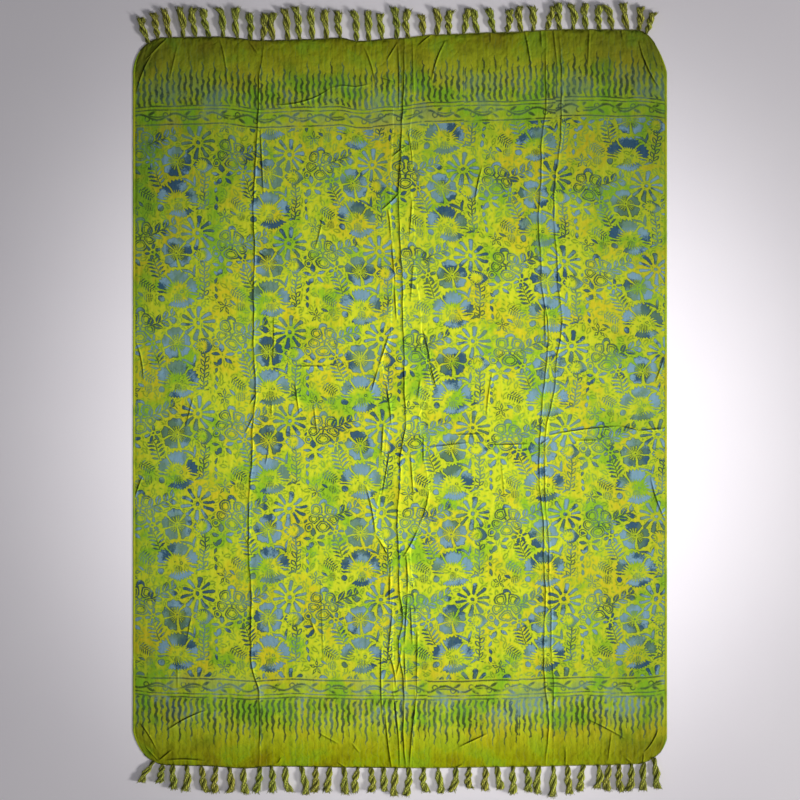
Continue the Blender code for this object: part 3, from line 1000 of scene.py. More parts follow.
@dataclass
class Stamp:
    """Drawing tools for one node tree: each gives how deep a place is inside a shape, in mm."""

    graph: Graph
    cell: Wire

    def window(self, x: float, y: float) -> Wire:
        """Find the place within the repeat, from a motif's middle.

        Args:
            x: The motif's middle across the block, in mm.
            y: The motif's middle along the block, in mm.

        Returns:
            The place in mm, wrapping with the repeat.
        """
        graph = self.graph
        moved = graph.vector("SUBTRACT", self.cell, (x / REPEAT[0], y / REPEAT[1], 0.0))
        wrapped = graph.vector("WRAP", moved, (0.5, 0.5, 0.5), (-0.5, -0.5, -0.5))
        return graph.vector("MULTIPLY", wrapped, (REPEAT[0], REPEAT[1], 0.0))

    def disc(self, place: Wire, x: float, y: float, radius: float) -> Wire:
        """Depth inside a disc."""
        return radius - self.graph.vector("DISTANCE", place, (x, y, 0.0))

    def folded(self, place: Wire, count: int, turn: float = 0.0,
               skew: float = 0.0) -> Tuple[Wire, Wire, Wire]:
        """Fold the plane into sectors round the middle.

        Args:
            place: Where, in mm.
            count: How many sectors.
            turn: How far the first one is turned, in degrees.
            skew: How unequal the sectors are, in radians.

        Returns:
            The way out along the sector's middle, the way aside, and the angle.
        """
        graph = self.graph
        x, y = graph.split(place)
        angle = graph.math("ARCTAN2", y, x)
        half = math.pi / count
        moved = angle - math.radians(turn)
        if skew:
            moved = moved + graph.math("SINE", angle * 2.0) * skew
        part = graph.math("WRAP", moved, half, -half)
        radius = graph.vector("LENGTH", place)
        return radius * graph.math("COSINE", part), radius * graph.math("SINE", part), angle

    def bar(self, out: Wire, aside: Wire, start: float, end: float, half_width: float) -> Wire:
        """Depth inside a round-ended bar along the way out.

        Args:
            out: The way out along the sector's middle.
            aside: The way aside.
            start: Where the bar starts.
            end: Where it ends.
            half_width: Half its width.

        Returns:
            The depth.
        """
        graph = self.graph
        nearest = graph.math("MINIMUM", graph.math("MAXIMUM", out, start), end)
        return half_width - graph.vector("LENGTH", graph.join(out - nearest, aside))

    def lobe(self, out: Wire, aside: Wire, centre: float, radius: float, squeeze: float = 1.0) -> Wire:
        """Depth inside a round petal, narrower or wider aside by squeeze."""
        graph = self.graph
        return radius - graph.vector("LENGTH", graph.join(out - centre, aside * squeeze))

    def leaf(self, place: Wire, base: Tuple[float, float], tip: Tuple[float, float],
             half_width: float) -> Wire:
        """Depth inside a pointed leaf.

        Args:
            place: Where, in mm.
            base: The leaf's base.
            tip: The leaf's tip.
            half_width: Half its width at the middle.

        Returns:
            The depth.
        """
        graph = self.graph
        length = math.hypot(tip[0] - base[0], tip[1] - base[1])
        dx, dy = (tip[0] - base[0]) / length, (tip[1] - base[1]) / length
        from_base = graph.vector("SUBTRACT", place, (base[0], base[1], 0.0))
        part = graph.vector("DOT_PRODUCT", from_base, (dx / length, dy / length, 0.0))
        aside = graph.vector("DOT_PRODUCT", from_base, (-dy, dx, 0.0))
        swell = (1.0 - part) * part * (4.0 * half_width)
        return swell - abs(aside)

    def outline(self, depth: Wire, line: float) -> Wire:
        """Turn a filled shape into a line round it."""
        return line - abs(depth - line)

    def sprig(self, place: Wire, base: Tuple[float, float], tip: Tuple[float, float], pitch: float,
              leaf: float, half_width: float, slant: float, line: float, vein: float = 0.0) -> Wire:
        """Depth inside a straight stem with leaves in turn on its two sides.

        Args:
            place: Where, in mm.
            base: The stem's base.
            tip: The stem's tip.
            pitch: From one leaf to the next on a side.
            leaf: A leaf's length.
            half_width: Half a leaf's width.
            slant: The angle between leaf and stem, in degrees.
            line: Half the stem's width.
            vein: Half the width of the bare vein in each leaf.

        Returns:
            The depth.
        """
        graph = self.graph
        length = math.hypot(tip[0] - base[0], tip[1] - base[1])
        dx, dy = (tip[0] - base[0]) / length, (tip[1] - base[1]) / length
        from_base = graph.vector("SUBTRACT", place, (base[0], base[1], 0.0))
        along = graph.vector("DOT_PRODUCT", from_base, (dx, dy, 0.0))
        aside = graph.vector("DOT_PRODUCT", from_base, (-dy, dx, 0.0))
        side = graph.math("SIGN", aside)
        step = graph.math("WRAP", along + side * (pitch * 0.25), pitch, 0.0)
        away = abs(aside)
        cosine, sine = math.cos(math.radians(slant)), math.sin(math.radians(slant))
        out = (step * cosine + away * sine) / leaf
        across = abs(away * cosine - step * sine)
        blade = (1.0 - out) * out * (4.0 * half_width) - across
        if vein:
            blade = graph.least(blade, across - vein)
        within = graph.least(along, length - along)
        stem = graph.least(line - away, within)
        return graph.most(graph.least(blade, within + 2.0), stem)

    def hatch(self, place: Wire, x: float, y: float, reach: float, pitch: float, line: float) -> Wire:
        """Depth inside short upright strokes that fill a disc.

        Args:
            place: Where, in mm.
            x: The disc's middle across.
            y: The disc's middle along.
            reach: The disc's radius.
            pitch: From one stroke to the next.
            line: Half a stroke's width.

        Returns:
            The depth.
        """
        graph = self.graph
        across, _ = graph.split(place)
        stroke = line - abs(graph.math("WRAP", across, pitch / 2, -pitch / 2))
        return graph.least(stroke, self.disc(place, x, y, reach))

    def ring(self, place: Wire, x: float, y: float, radius: float, line: float) -> Wire:
        """Depth inside a thin ring."""
        return line - abs(radius - self.graph.vector("DISTANCE", place, (x, y, 0.0)))

    def serrated(self, angle: Wire, teeth: float, height: float) -> Wire:
        """A wave round an angle that puts teeth on an edge."""
        return self.graph.math("SINE", angle * teeth) * height


class BlockPrint(Effect):
    """The flower block, printed over and over: blooms, leaves, sprigs and small fill."""

    name = "block_print"
    takes = {"Flat": VECTOR, "Ragged": FLOAT}
    gives = {"Ink": FLOAT, "Inside": FLOAT, "Halo": FLOAT}

    # First block's daisy, and how the rows close up and slip as they cross the cloth
    first_u = -0.435
    pitch_u = 0.1973
    first_v = 0.5540
    slip_v = 0.1081
    pitch_v = 0.19325
    close_v = 0.01801
    slip_blocks = 5.0
    slips = (Slip(0.0, 1.5, -0.0215), Slip(2.0, 3.5, 0.0165))
    wobble = Grain(34.0, 1.0)
    wobble_reach = (0.008, 0.008, 0.0)
    ragged_grain = Grain(380.0, 1.0)
    outline_width = 1.15
    tiny_shift = (0.31, 0.17, 0.0)
    tiny_inset = 0.3
    clear = 2.2
    ink_rise = (-0.7, 0.7)
    loose_rise = (-0.6, 0.7)
    loose_share = 0.50
    inside_rise = (0.4, 2.0)
    halo_rise = (-3.2, 0.4)

    def cell(self, graph: Graph, flat: Wire) -> Wire:
        """Find the place counted in blocks, x to the right and y up.

        Args:
            graph: The tree.
            flat: Flat cloth place, in metres.

        Returns:
            The place in blocks from the first daisy.
        """
        u, v = graph.split(flat)
        column = (u - self.first_u) * (1.0 / self.pitch_u)
        slip = column * (1.0 / self.slip_blocks)
        drop = (v - self.first_v) + slip * self.slip_v
        row = drop / (self.pitch_v - slip * self.close_v)
        moved = column
        for slid in self.slips:
            near = graph.math("SUBTRACT", 1.2, abs(row + slid.row), clamp=True)
            beyond = graph.step(column, slid.column - 0.5, slid.column + 0.5)
            moved = moved - near * beyond * (slid.shift / self.pitch_u)
        return graph.join(moved, row)

    def daisy(self, stamp: Stamp) -> Wire:
        """Ten long petals round a bare ring and a dark eye.

        Args:
            stamp: The drawing tools.

        Returns:
            The depth inside the drawing, in mm.
        """
        graph = stamp.graph
        near = stamp.window(0.0, 0.0)
        out, aside, _ = stamp.folded(near, 10, 12.0, 0.10)
        petals = stamp.bar(out, aside, 14.2, 32.5, 2.6) + graph.step(out, 12.0, 34.0) * 2.0
        return graph.most(petals, stamp.disc(near, 0.0, 0.0, 4.6))

    def mallow(self, stamp: Stamp) -> Wire:
        """Five flared petals with bare veins, parted by thin bare lines.

        Args:
            stamp: The drawing tools.

        Returns:
            The depth inside the drawing, in mm.
        """
        graph = stamp.graph
        place = stamp.window(-45.5, -45.5)
        out, aside, angle = stamp.folded(place, 5, 98.0, 0.16)
        away = abs(aside)
        edge = stamp.lobe(out, aside, 18.5, 14.6, 0.86) + stamp.serrated(angle, 15.0, 1.1)
        wedge = out * 0.64 - away - 0.9
        petals = graph.least(edge, wedge)
        vein = graph.least(0.62 - graph.least(away, abs(away - out * 0.26)), 17.0 - out)
        petals = graph.least(petals, 0.0 - vein)
        return graph.most(petals, stamp.disc(place, 0.0, 0.0, 1.8))

    def peony(self, stamp: Stamp) -> Wire:
        """A toothed crown over a bare, rayed middle, with a toothed sickle below.

        Args:
            stamp: The drawing tools.

        Returns:
            The depth inside the drawing, in mm.
        """
        graph = stamp.graph
        place = stamp.window(-43.0, -128.0)
        _, y = graph.split(place)
        out, aside, angle = stamp.folded(place, 6, 90.0, 0.12)
        teeth = stamp.serrated(angle, 34.0, 1.7)
        petals = graph.least(stamp.lobe(out, aside, 32.0, 13.5, 0.66) + teeth, out * 0.56 - abs(aside) - 1.3)
        oval = graph.vector("LENGTH", graph.vector("MULTIPLY", place, (0.86, 1.12, 0.0)))
        bare = oval - 22.0 - stamp.serrated(angle, 26.0, 4.6)
        crown = graph.least(petals, bare, y + 5.0)
        sickle = graph.least(stamp.leaf(place, (-22.0, -27.0), (34.0, -17.0), 10.5) + teeth, bare + 1.5)
        dashes = stamp.hatch(place, 1.0, -11.0, 8.5, 3.2, 0.75)
        eye = stamp.ring(place, 8.0, 3.0, 2.6, 0.8)
        small = graph.most(eye, stamp.disc(place, -6.0, 5.0, 1.3), stamp.disc(place, -36.0, -16.0, 7.0))
        return graph.most(crown, sickle, dashes, small)

    def curled(self, stamp: Stamp) -> Wire:
        """An orchid-like bloom: five lobes, each drawn as nested lines, under a filled hood.

        Args:
            stamp: The drawing tools.

        Returns:
            The depth inside the drawing, in mm.
        """
        graph = stamp.graph
        place = stamp.window(73.0, -16.0)
        out, aside, _ = stamp.folded(place, 5, 54.0, 0.16)
        lobes = graph.least(stamp.lobe(out, aside, 21.0, 12.5, 0.92), out * 0.60 - abs(aside))
        lines = graph.most(1.5 - abs(lobes - 1.5), 1.0 - abs(lobes - 5.6))
        star = stamp.bar(out, aside, 2.0, 10.0, 1.5)
        hood = graph.least(stamp.disc(place, 0.0, 30.0, 9.5), 0.0 - stamp.disc(place, 1.0, 24.0, 7.0))
        return graph.most(lines, star, hood)

    def foliage(self, stamp: Stamp) -> Wire:
        """Leaves and sprigs between the flowers.

        Args:
            stamp: The drawing tools.

        Returns:
            The depth inside the drawing, in mm.
        """
        graph = stamp.graph
        branch = stamp.window(-75.0, 2.0)
        depth = graph.most(
            stamp.sprig(branch, (-27.0, -15.0), (27.0, 12.0), 18.5, 23.0, 6.0, 42.0, 1.2, 0.6),
            stamp.disc(branch, 23.0, -2.0, 5.4),
        )
        place = stamp.window(13.0, -47.0)
        blade = stamp.leaf(place, (-24.0, 0.0), (20.0, 0.0), 16.0)
        _, _, angle = stamp.folded(place, 2)
        sun = stamp.disc(place, -6.0, 0.0, 12.0) + stamp.serrated(angle, 19.0, 2.4)
        depth = graph.most(depth, graph.least(blade, 0.0 - sun))
        upright = stamp.window(13.0, -100.0)
        shoot = stamp.sprig(upright, (0.0, -36.0), (2.0, 36.0), 17.0, 17.0, 4.6, 36.0, 1.1)
        depth = graph.most(depth, stamp.outline(shoot, 1.35))
        depth = graph.most(depth, stamp.leaf(upright, (-1.0, -33.0), (-19.0, -41.0), 2.6))
        fern = stamp.window(104.0, -82.0)
        fronds = stamp.sprig(fern, (14.0, -24.0), (-4.0, 24.0), 8.6, 22.0, 2.2, 62.0, 1.0)
        depth = graph.most(depth, graph.least(fronds, stamp.disc(fern, 2.0, 2.0, 22.0)))
        curl = stamp.window(-19.0, -85.0)
        sickle = graph.least(
            stamp.leaf(curl, (-18.0, 6.0), (15.0, -7.0), 5.6),
            0.0 - stamp.leaf(curl, (-16.0, 2.0), (13.0, -9.0), 2.4),
        )
        return graph.most(depth, sickle, stamp.leaf(curl, (10.0, -10.0), (14.0, 18.0), 3.2))

    def small_flowers(self, stamp: Stamp) -> Wire:
        """Small blooms and leaves that fill the gaps.

        Args:
            stamp: The drawing tools.

        Returns:
            The depth inside the drawing, in mm.
        """
        graph = stamp.graph
        six = stamp.window(100.0, -48.0)
        out, aside, _ = stamp.folded(six, 6, 20.0)
        depth = graph.most(stamp.bar(out, aside, 8.5, 14.5, 3.1), stamp.disc(six, 0.0, 0.0, 2.2))
        star = stamp.window(58.0, -150.0)
        out, aside, _ = stamp.folded(star, 5, 90.0)
        petals = 3.6 - abs(aside) - abs(out - 9.5) * 0.42
        depth = graph.most(depth, stamp.outline(petals, 1.0), stamp.disc(star, 0.0, 0.0, 2.0))
        spray = stamp.window(54.0, -64.0)
        out, aside, _ = stamp.folded(spray, 5, 100.0, 0.14)
        depth = graph.most(depth, (out - 6.0) * (25.0 - out) * 0.052 - abs(aside))
        row = stamp.window(39.0, -107.0)
        depth = graph.most(
            depth,
            stamp.leaf(row, (-5.0, 29.0), (4.0, 20.0), 3.6),
            stamp.leaf(row, (2.0, 16.0), (-3.0, 3.0), 3.4),
            stamp.leaf(row, (-2.0, -1.0), (2.0, -13.0), 3.2),
            stamp.leaf(row, (-1.0, -16.0), (1.0, -31.0), 3.5),
        )
        plume = stamp.window(88.0, -118.0)
        blades = stamp.sprig(plume, (-16.0, 9.0), (16.0, -11.0), 5.4, 12.0, 1.5, 70.0, 0.8)
        depth = graph.most(
            depth,
            graph.least(blades, stamp.disc(plume, 0.0, 0.0, 17.0)),
            stamp.hatch(plume, 4.0, -27.0, 9.0, 3.4, 0.75),
            stamp.leaf(plume, (-20.0, -16.0), (-6.0, -26.0), 3.2),
        )
        buds = stamp.window(40.0, -40.0)
        return graph.most(
            depth,
            stamp.disc(buds, 0.0, 0.0, 4.2),
            stamp.ring(buds, 1.0, 0.0, 8.0, 1.0),
            stamp.leaf(buds, (6.0, -6.0), (18.0, -12.0), 2.8),
            stamp.leaf(buds, (-9.0, 8.0), (-3.0, 17.0), 2.6),
        )

    def strewn(self, stamp: Stamp, flat: Wire, scale: float, length: float, width: float) -> Wire:
        """Small leaves strewn over the ground, one in each cell of a loose net.

        Args:
            stamp: The drawing tools.
            flat: Flat cloth place, in metres.
            scale: Cells in each metre.
            length: A leaf's length, in mm.
            width: Half a leaf's width, in mm.

        Returns:
            The depth inside them.
        """
        graph = stamp.graph
        net = graph.node("ShaderNodeTexVoronoi", voronoi_dimensions="2D", feature="F1")
        graph.feed(net.inputs["Vector"], flat)
        net.inputs["Scale"].default_value = scale
        net.inputs["Randomness"].default_value = 0.8
        centre = Wire(graph, net.outputs["Position"])
        chance, _ = graph.split(Wire(graph, net.outputs["Color"]))
        in_mm = graph.vector("MULTIPLY", graph.vector("SUBTRACT", flat, centre), (1000.0, 1000.0, 0.0))
        turned = graph.turned(in_mm, chance * 6.283)
        return stamp.leaf(turned, (-length / 2, 0.0), (length / 2, 0.8), width)

    def draw(self, graph: Graph, given: Wires) -> Wires:
        """Build the group's nodes.

        Args:
            graph: The group's tree.
            given: Its inputs by name.

        Returns:
            Its outputs by name.
        """
        flat = given["Flat"]
        wobble = graph.noise(flat, *self.wobble, "Color")
        wander = graph.vector("SUBTRACT", wobble, (0.5, 0.5, 0.5))
        bent = graph.vector("ADD", flat, graph.vector("MULTIPLY", wander, self.wobble_reach))
        stamp = Stamp(graph, self.cell(graph, bent))
        motifs = (self.daisy, self.mallow, self.peony, self.curled, self.foliage, self.small_flowers)
        depth = graph.most(*[motif(stamp) for motif in motifs])
        ragged = (graph.noise(flat, *self.ragged_grain) - 0.5) * given["Ragged"]
        depth = depth + ragged
        large = stamp.outline(self.strewn(stamp, flat, 41.0, 18.0, 4.4), self.outline_width)
        tiny = self.strewn(stamp, graph.vector("ADD", flat, self.tiny_shift), 76.0, 8.5, 1.6)
        loose = graph.least(graph.most(large, tiny - self.tiny_inset), -self.clear - depth) + ragged * 0.5
        loose_ink = graph.step(loose, *self.loose_rise) * self.loose_share
        return {
            "Ink": graph.most(graph.step(depth, *self.ink_rise), loose_ink),
            "Inside": graph.step(depth, *self.inside_rise),
            "Halo": graph.step(graph.most(depth, loose), *self.halo_rise),
        }


class EndBorder(Effect):
    """The printed border at each end: comb of wavy spikes, rules and a scroll vine."""

    name = "end_border"
    takes = {"Flat": VECTOR, "Ragged": FLOAT}
    gives = {"Ink": FLOAT, "Field": FLOAT, "Band": FLOAT, "Shade": FLOAT}

    block = 0.197
    comb_pitch = 25.2
    comb_wave = 25.0
    comb_end = 146.0
    long_tip = 50.0
    short_tip = 69.0
    vine = 168.0
    vine_bend = 78.0
    last_rule = 185.0
    field_start = 189.0
    wave_swing = 1.6
    spike_run = 42.0
    spike_width = 3.3
    rule_gap = 7.6
    rule_widths = (1.7, 1.5, 1.8)
    jog = 4.4
    swing_grain = Grain(12.0, 2.0)
    swing = 7.0
    uneven_grain = Grain(48.0, 1.0)
    uneven = 30.0
    ragged_grain = Grain(300.0, 2.0)
    worn_grain = Grain(48.0, 2.0)
    worn_rise = (0.24, 0.42)
    ink_rise = (-0.9, 1.2)
    ink_cover = 0.9
    band_ends = (106.0, 20.0)
    shade_starts = (70.0, 125.0)
    shade_ends = (205.0, 165.0)

    def comb(self, graph: Graph, across: Wire, deep: Wire, tip: float, shift: float) -> Wire:
        """One set of wavy spikes.

        Args:
            graph: The tree.
            across: Place across the cloth, in mm.
            deep: Distance from the end edge, in mm.
            tip: Where the spikes' tips lie.
            shift: How far the set is moved across.

        Returns:
            The depth inside them, in mm.
        """
        wave = graph.math("SINE", deep * (2.0 * math.pi / self.comb_wave)) * self.wave_swing
        half = self.comb_pitch / 2
        aside = graph.math("WRAP", across + wave + shift, half, -half)
        taper = graph.step(deep, tip, tip + self.spike_run)
        width = graph.math("SQRT", taper) * self.spike_width
        return graph.least(width - abs(aside), self.comb_end - deep)

    def rule(self, deep: Wire, at: float, half_width: float) -> Wire:
        """Depth inside a thin line across the cloth."""
        return half_width - abs(deep - at)

    def scroll(self, graph: Graph, across: Wire, deep: Wire) -> Wire:
        """A running vine with a leaf and a curl in each bend.

        Args:
            graph: The tree.
            across: Place across the cloth, in mm.
            deep: Distance from the end edge, in mm.

        Returns:
            The depth inside its line, in mm.
        """
        bend = self.vine_bend
        y = deep - self.vine
        wave = graph.math("SINE", across * (2.0 * math.pi / bend))
        stem = 2.1 - abs(y - wave * 6.6) * 0.8
        twin = 1.5 - abs(y - wave * 2.6 + 2.0) * 0.9
        stem = graph.most(stem, graph.least(twin, wave * 6.0))
        half = bend / 4
        local = graph.math("WRAP", across, half, -half)
        side = graph.math("SIGN", graph.math("SINE", (across + half) * (2.0 * math.pi / bend)))
        place = graph.join(local, y * side)
        curl = 1.5 - abs(5.0 - graph.vector("DISTANCE", place, (-2.0, 3.6, 0.0)))
        dot = 2.3 - graph.vector("DISTANCE", place, (9.5, 6.5, 0.0))
        turned = graph.turned(graph.vector("SUBTRACT", place, (7.0, -7.0, 0.0)), 0.5)
        leaf = 3.4 - graph.vector("LENGTH", graph.vector("MULTIPLY", turned, (0.38, 1.0, 0.0)))
        return graph.most(stem, curl, dot, leaf)

    def draw(self, graph: Graph, given: Wires) -> Wires:
        """Build the group's nodes.

        Args:
            graph: The group's tree.
            given: Its inputs by name.

        Returns:
            Its outputs by name.
        """
        u, v = graph.split(given["Flat"])
        block = graph.math("FLOOR", u * (1.0 / self.block) + graph.math("SIGN", v) * 0.3)
        chance = graph.node("ShaderNodeTexWhiteNoise", noise_dimensions="1D")
        graph.feed(chance.inputs["W"], block)
        jog = (Wire(graph, chance.outputs["Value"]) - 0.5) * self.jog
        swing = (graph.noise(given["Flat"], *self.swing_grain) - 0.5) * self.swing
        deep = (HALF_LENGTH - abs(v)) * 1000.0 + jog + swing
        across = u * 1000.0 + jog * 2.0
        uneven = (graph.noise(given["Flat"], *self.uneven_grain) - 0.5) * self.uneven
        spikes = graph.most(
            self.comb(graph, across, deep + uneven, self.long_tip, 0.0),
            self.comb(graph, across, deep + uneven, self.short_tip, self.comb_pitch / 2),
        )
        spikes = graph.least(spikes, self.comb_end - deep)
        places = (self.comb_end, self.comb_end + self.rule_gap, self.last_rule)
        rules = graph.most(*[self.rule(deep, *rule) for rule in zip(places, self.rule_widths)])
        ragged = (graph.noise(given["Flat"], *self.ragged_grain) - 0.5) * given["Ragged"]
        depth = graph.most(spikes, rules, self.scroll(graph, across, deep)) + ragged
        worn = graph.step(graph.noise(given["Flat"], *self.worn_grain), *self.worn_rise)
        ink = graph.step(depth, *self.ink_rise) * worn * self.ink_cover
        field_mask = graph.step(deep, self.field_start - 1.0, self.field_start + 1.0)
        band = graph.step(deep, *self.band_ends)
        shade = graph.least(graph.step(deep, *self.shade_starts), graph.step(deep, *self.shade_ends))
        return {"Ink": ink, "Field": field_mask, "Band": band, "Shade": shade}


class InkTone(Effect):
    """Colour of the print: mossy at its edges and thin lines, blue to navy inside."""

    name = "ink_tone"
    takes = {"Flat": VECTOR, "Inside": FLOAT, "Pale": COLOUR, "Deep": COLOUR, "Mossy": COLOUR,
             "Olive": COLOUR}
    gives = {"Color": COLOUR, "Cover": FLOAT}
    patch = Grain(15.0, 2.5, 0.62)
    patch_shift = (7.3, 2.9, 0.0)
    moss = Grain(13.0, 3.0, 0.6)
    moss_shift = (1.3, 9.1, 0.0)
    grain = Grain(260.0, 2.0, 0.7)
    grain_share = 0.14
    dark_rise = (0.51, 0.58)
    moss_rise = (0.47, 0.63)
    moss_share = 0.74
    line_rise = (0.44, 0.57)
    worn_rise = (0.10, 0.55)
    worn_share = 0.20
    least_cover = 0.78
    dark_cover = 0.95

    def draw(self, graph: Graph, given: Wires) -> Wires:
        """Build the group's nodes.

        Args:
            graph: The group's tree.
            given: Its inputs by name.

        Returns:
            Its outputs by name.
        """
        flat = given["Flat"]
        patch = graph.noise(graph.vector("ADD", flat, self.patch_shift), *self.patch)
        moss = graph.noise(graph.vector("ADD", flat, self.moss_shift), *self.moss)
        grain = graph.noise(flat, *self.grain)
        dark = graph.step(patch + (grain - 0.5) * self.grain_share, *self.dark_rise)
        fill = graph.mix(dark, given["Pale"], given["Deep"])
        fill = graph.mix(graph.step(moss, *self.moss_rise) * self.moss_share, fill, given["Mossy"])
        line = graph.mix(graph.step(patch, *self.line_rise), given["Mossy"], given["Olive"])
        colour = graph.mix(given["Inside"], line, fill)
        cover = graph.step(grain, *self.worn_rise) * self.worn_share + self.least_cover
        return {"Color": colour, "Cover": graph.most(cover, dark * self.dark_cover)}


class YarnTwist(Effect):
    """Fibres that wind round a ply, with painted shade between the fibres, towards the groove where two plies
    meet and at the root.
    """

    name = "yarn_twist"
    takes = {"Strand": VECTOR, "Fibres": FLOAT}
    gives = {"Height": FLOAT, "Shade": FLOAT}
    lean_rate = 30.0
    stretch = (9.0, 160.0, 0.0)
    fuzz = Grain(1.0, 3.0, 0.65)
    ridge_height = 0.35
    ridge_shade = 0.8
    open_rise = (0.12, 0.38)
    open_share = 0.93
    shut_share = 0.07
    ridge_rise = (-0.5, 1.0)
    root_rise = (0.0, 0.016)
    root_light = 0.4
    root_gain = 0.6

    def draw(self, graph: Graph, given: Wires) -> Wires:
        """Build the group's nodes.

        Args:
            graph: The group's tree.
            given: Its inputs by name.

        Returns:
            Its outputs by name.
        """
        around, along = graph.split(given["Strand"])
        lean = around + along * self.lean_rate
        ridge = graph.math("SINE", lean * given["Fibres"])
        stretched = graph.vector("MULTIPLY", graph.join(lean, along), self.stretch)
        fuzz = graph.noise(stretched, *self.fuzz)
        height = ridge * self.ridge_height + fuzz
        # Painted shade in the groove where the two plies meet; the fibre ridges get painted shade between
        # them and random tone from the fuzz
        open_side = graph.step(abs(around - 0.5), *self.open_rise)
        shade = graph.step(ridge * self.ridge_shade + fuzz, *self.ridge_rise)
        shade = shade * (open_side * self.open_share + self.shut_share)
        # Painted shade at the lock's root
        shade = shade * (graph.step(along, *self.root_rise) * self.root_gain + self.root_light)
        return {"Height": height, "Shade": shade}


@dataclass(frozen=True)
class Finish(ABC):
    """A named material with a Principled shader."""

    name: str
    roughness: float = 0.75
    sheen: float = 0.0

    def material(self) -> bpy.types.Material:
        """Build the material.

        Returns:
            The material, with its detail nodes in place.
        """
        made = bpy.data.materials.new(self.name)
        made.use_nodes = True
        shader = made.node_tree.nodes["Principled BSDF"]
        shader.inputs["Roughness"].default_value = self.roughness
        shader.inputs["Sheen Weight"].default_value = self.sheen
        shader.inputs["Sheen Roughness"].default_value = 0.5
        shader.inputs["Specular IOR Level"].default_value = 0.07
        self.dress(Graph(made.node_tree), shader)
        return made

    @abstractmethod
    def dress(self, graph: Graph, shader: bpy.types.Node) -> None:
        """Feed the shader's colour, roughness and normal."""

    def bump(self, graph: Graph, shader: bpy.types.Node, height: Wire, strength: float,
             distance: float) -> None:
        """Feed the shader's normal from a height.

        Args:
            graph: The material's tree.
            shader: The shader.
            height: The height, from 0 to 1 or so.
            strength: How strongly it shows.
            distance: The relief's depth, in metres.
        """
        made = graph.node("ShaderNodeBump")
        made.inputs["Strength"].default_value = strength
        made.inputs["Distance"].default_value = distance
        graph.feed(made.inputs["Height"], height)
        graph.feed(shader.inputs["Normal"], Wire(graph, made.outputs["Normal"]))

    def map_wire(self, graph: Graph, name: str) -> Wire:
        """The places that a UV map holds."""
        made = graph.node("ShaderNodeUVMap", uv_map=name)
        return Wire(graph, made.outputs["UV"])


# The weave's turns of phase, in radians for each metre of cloth
THREADS = 9000.0


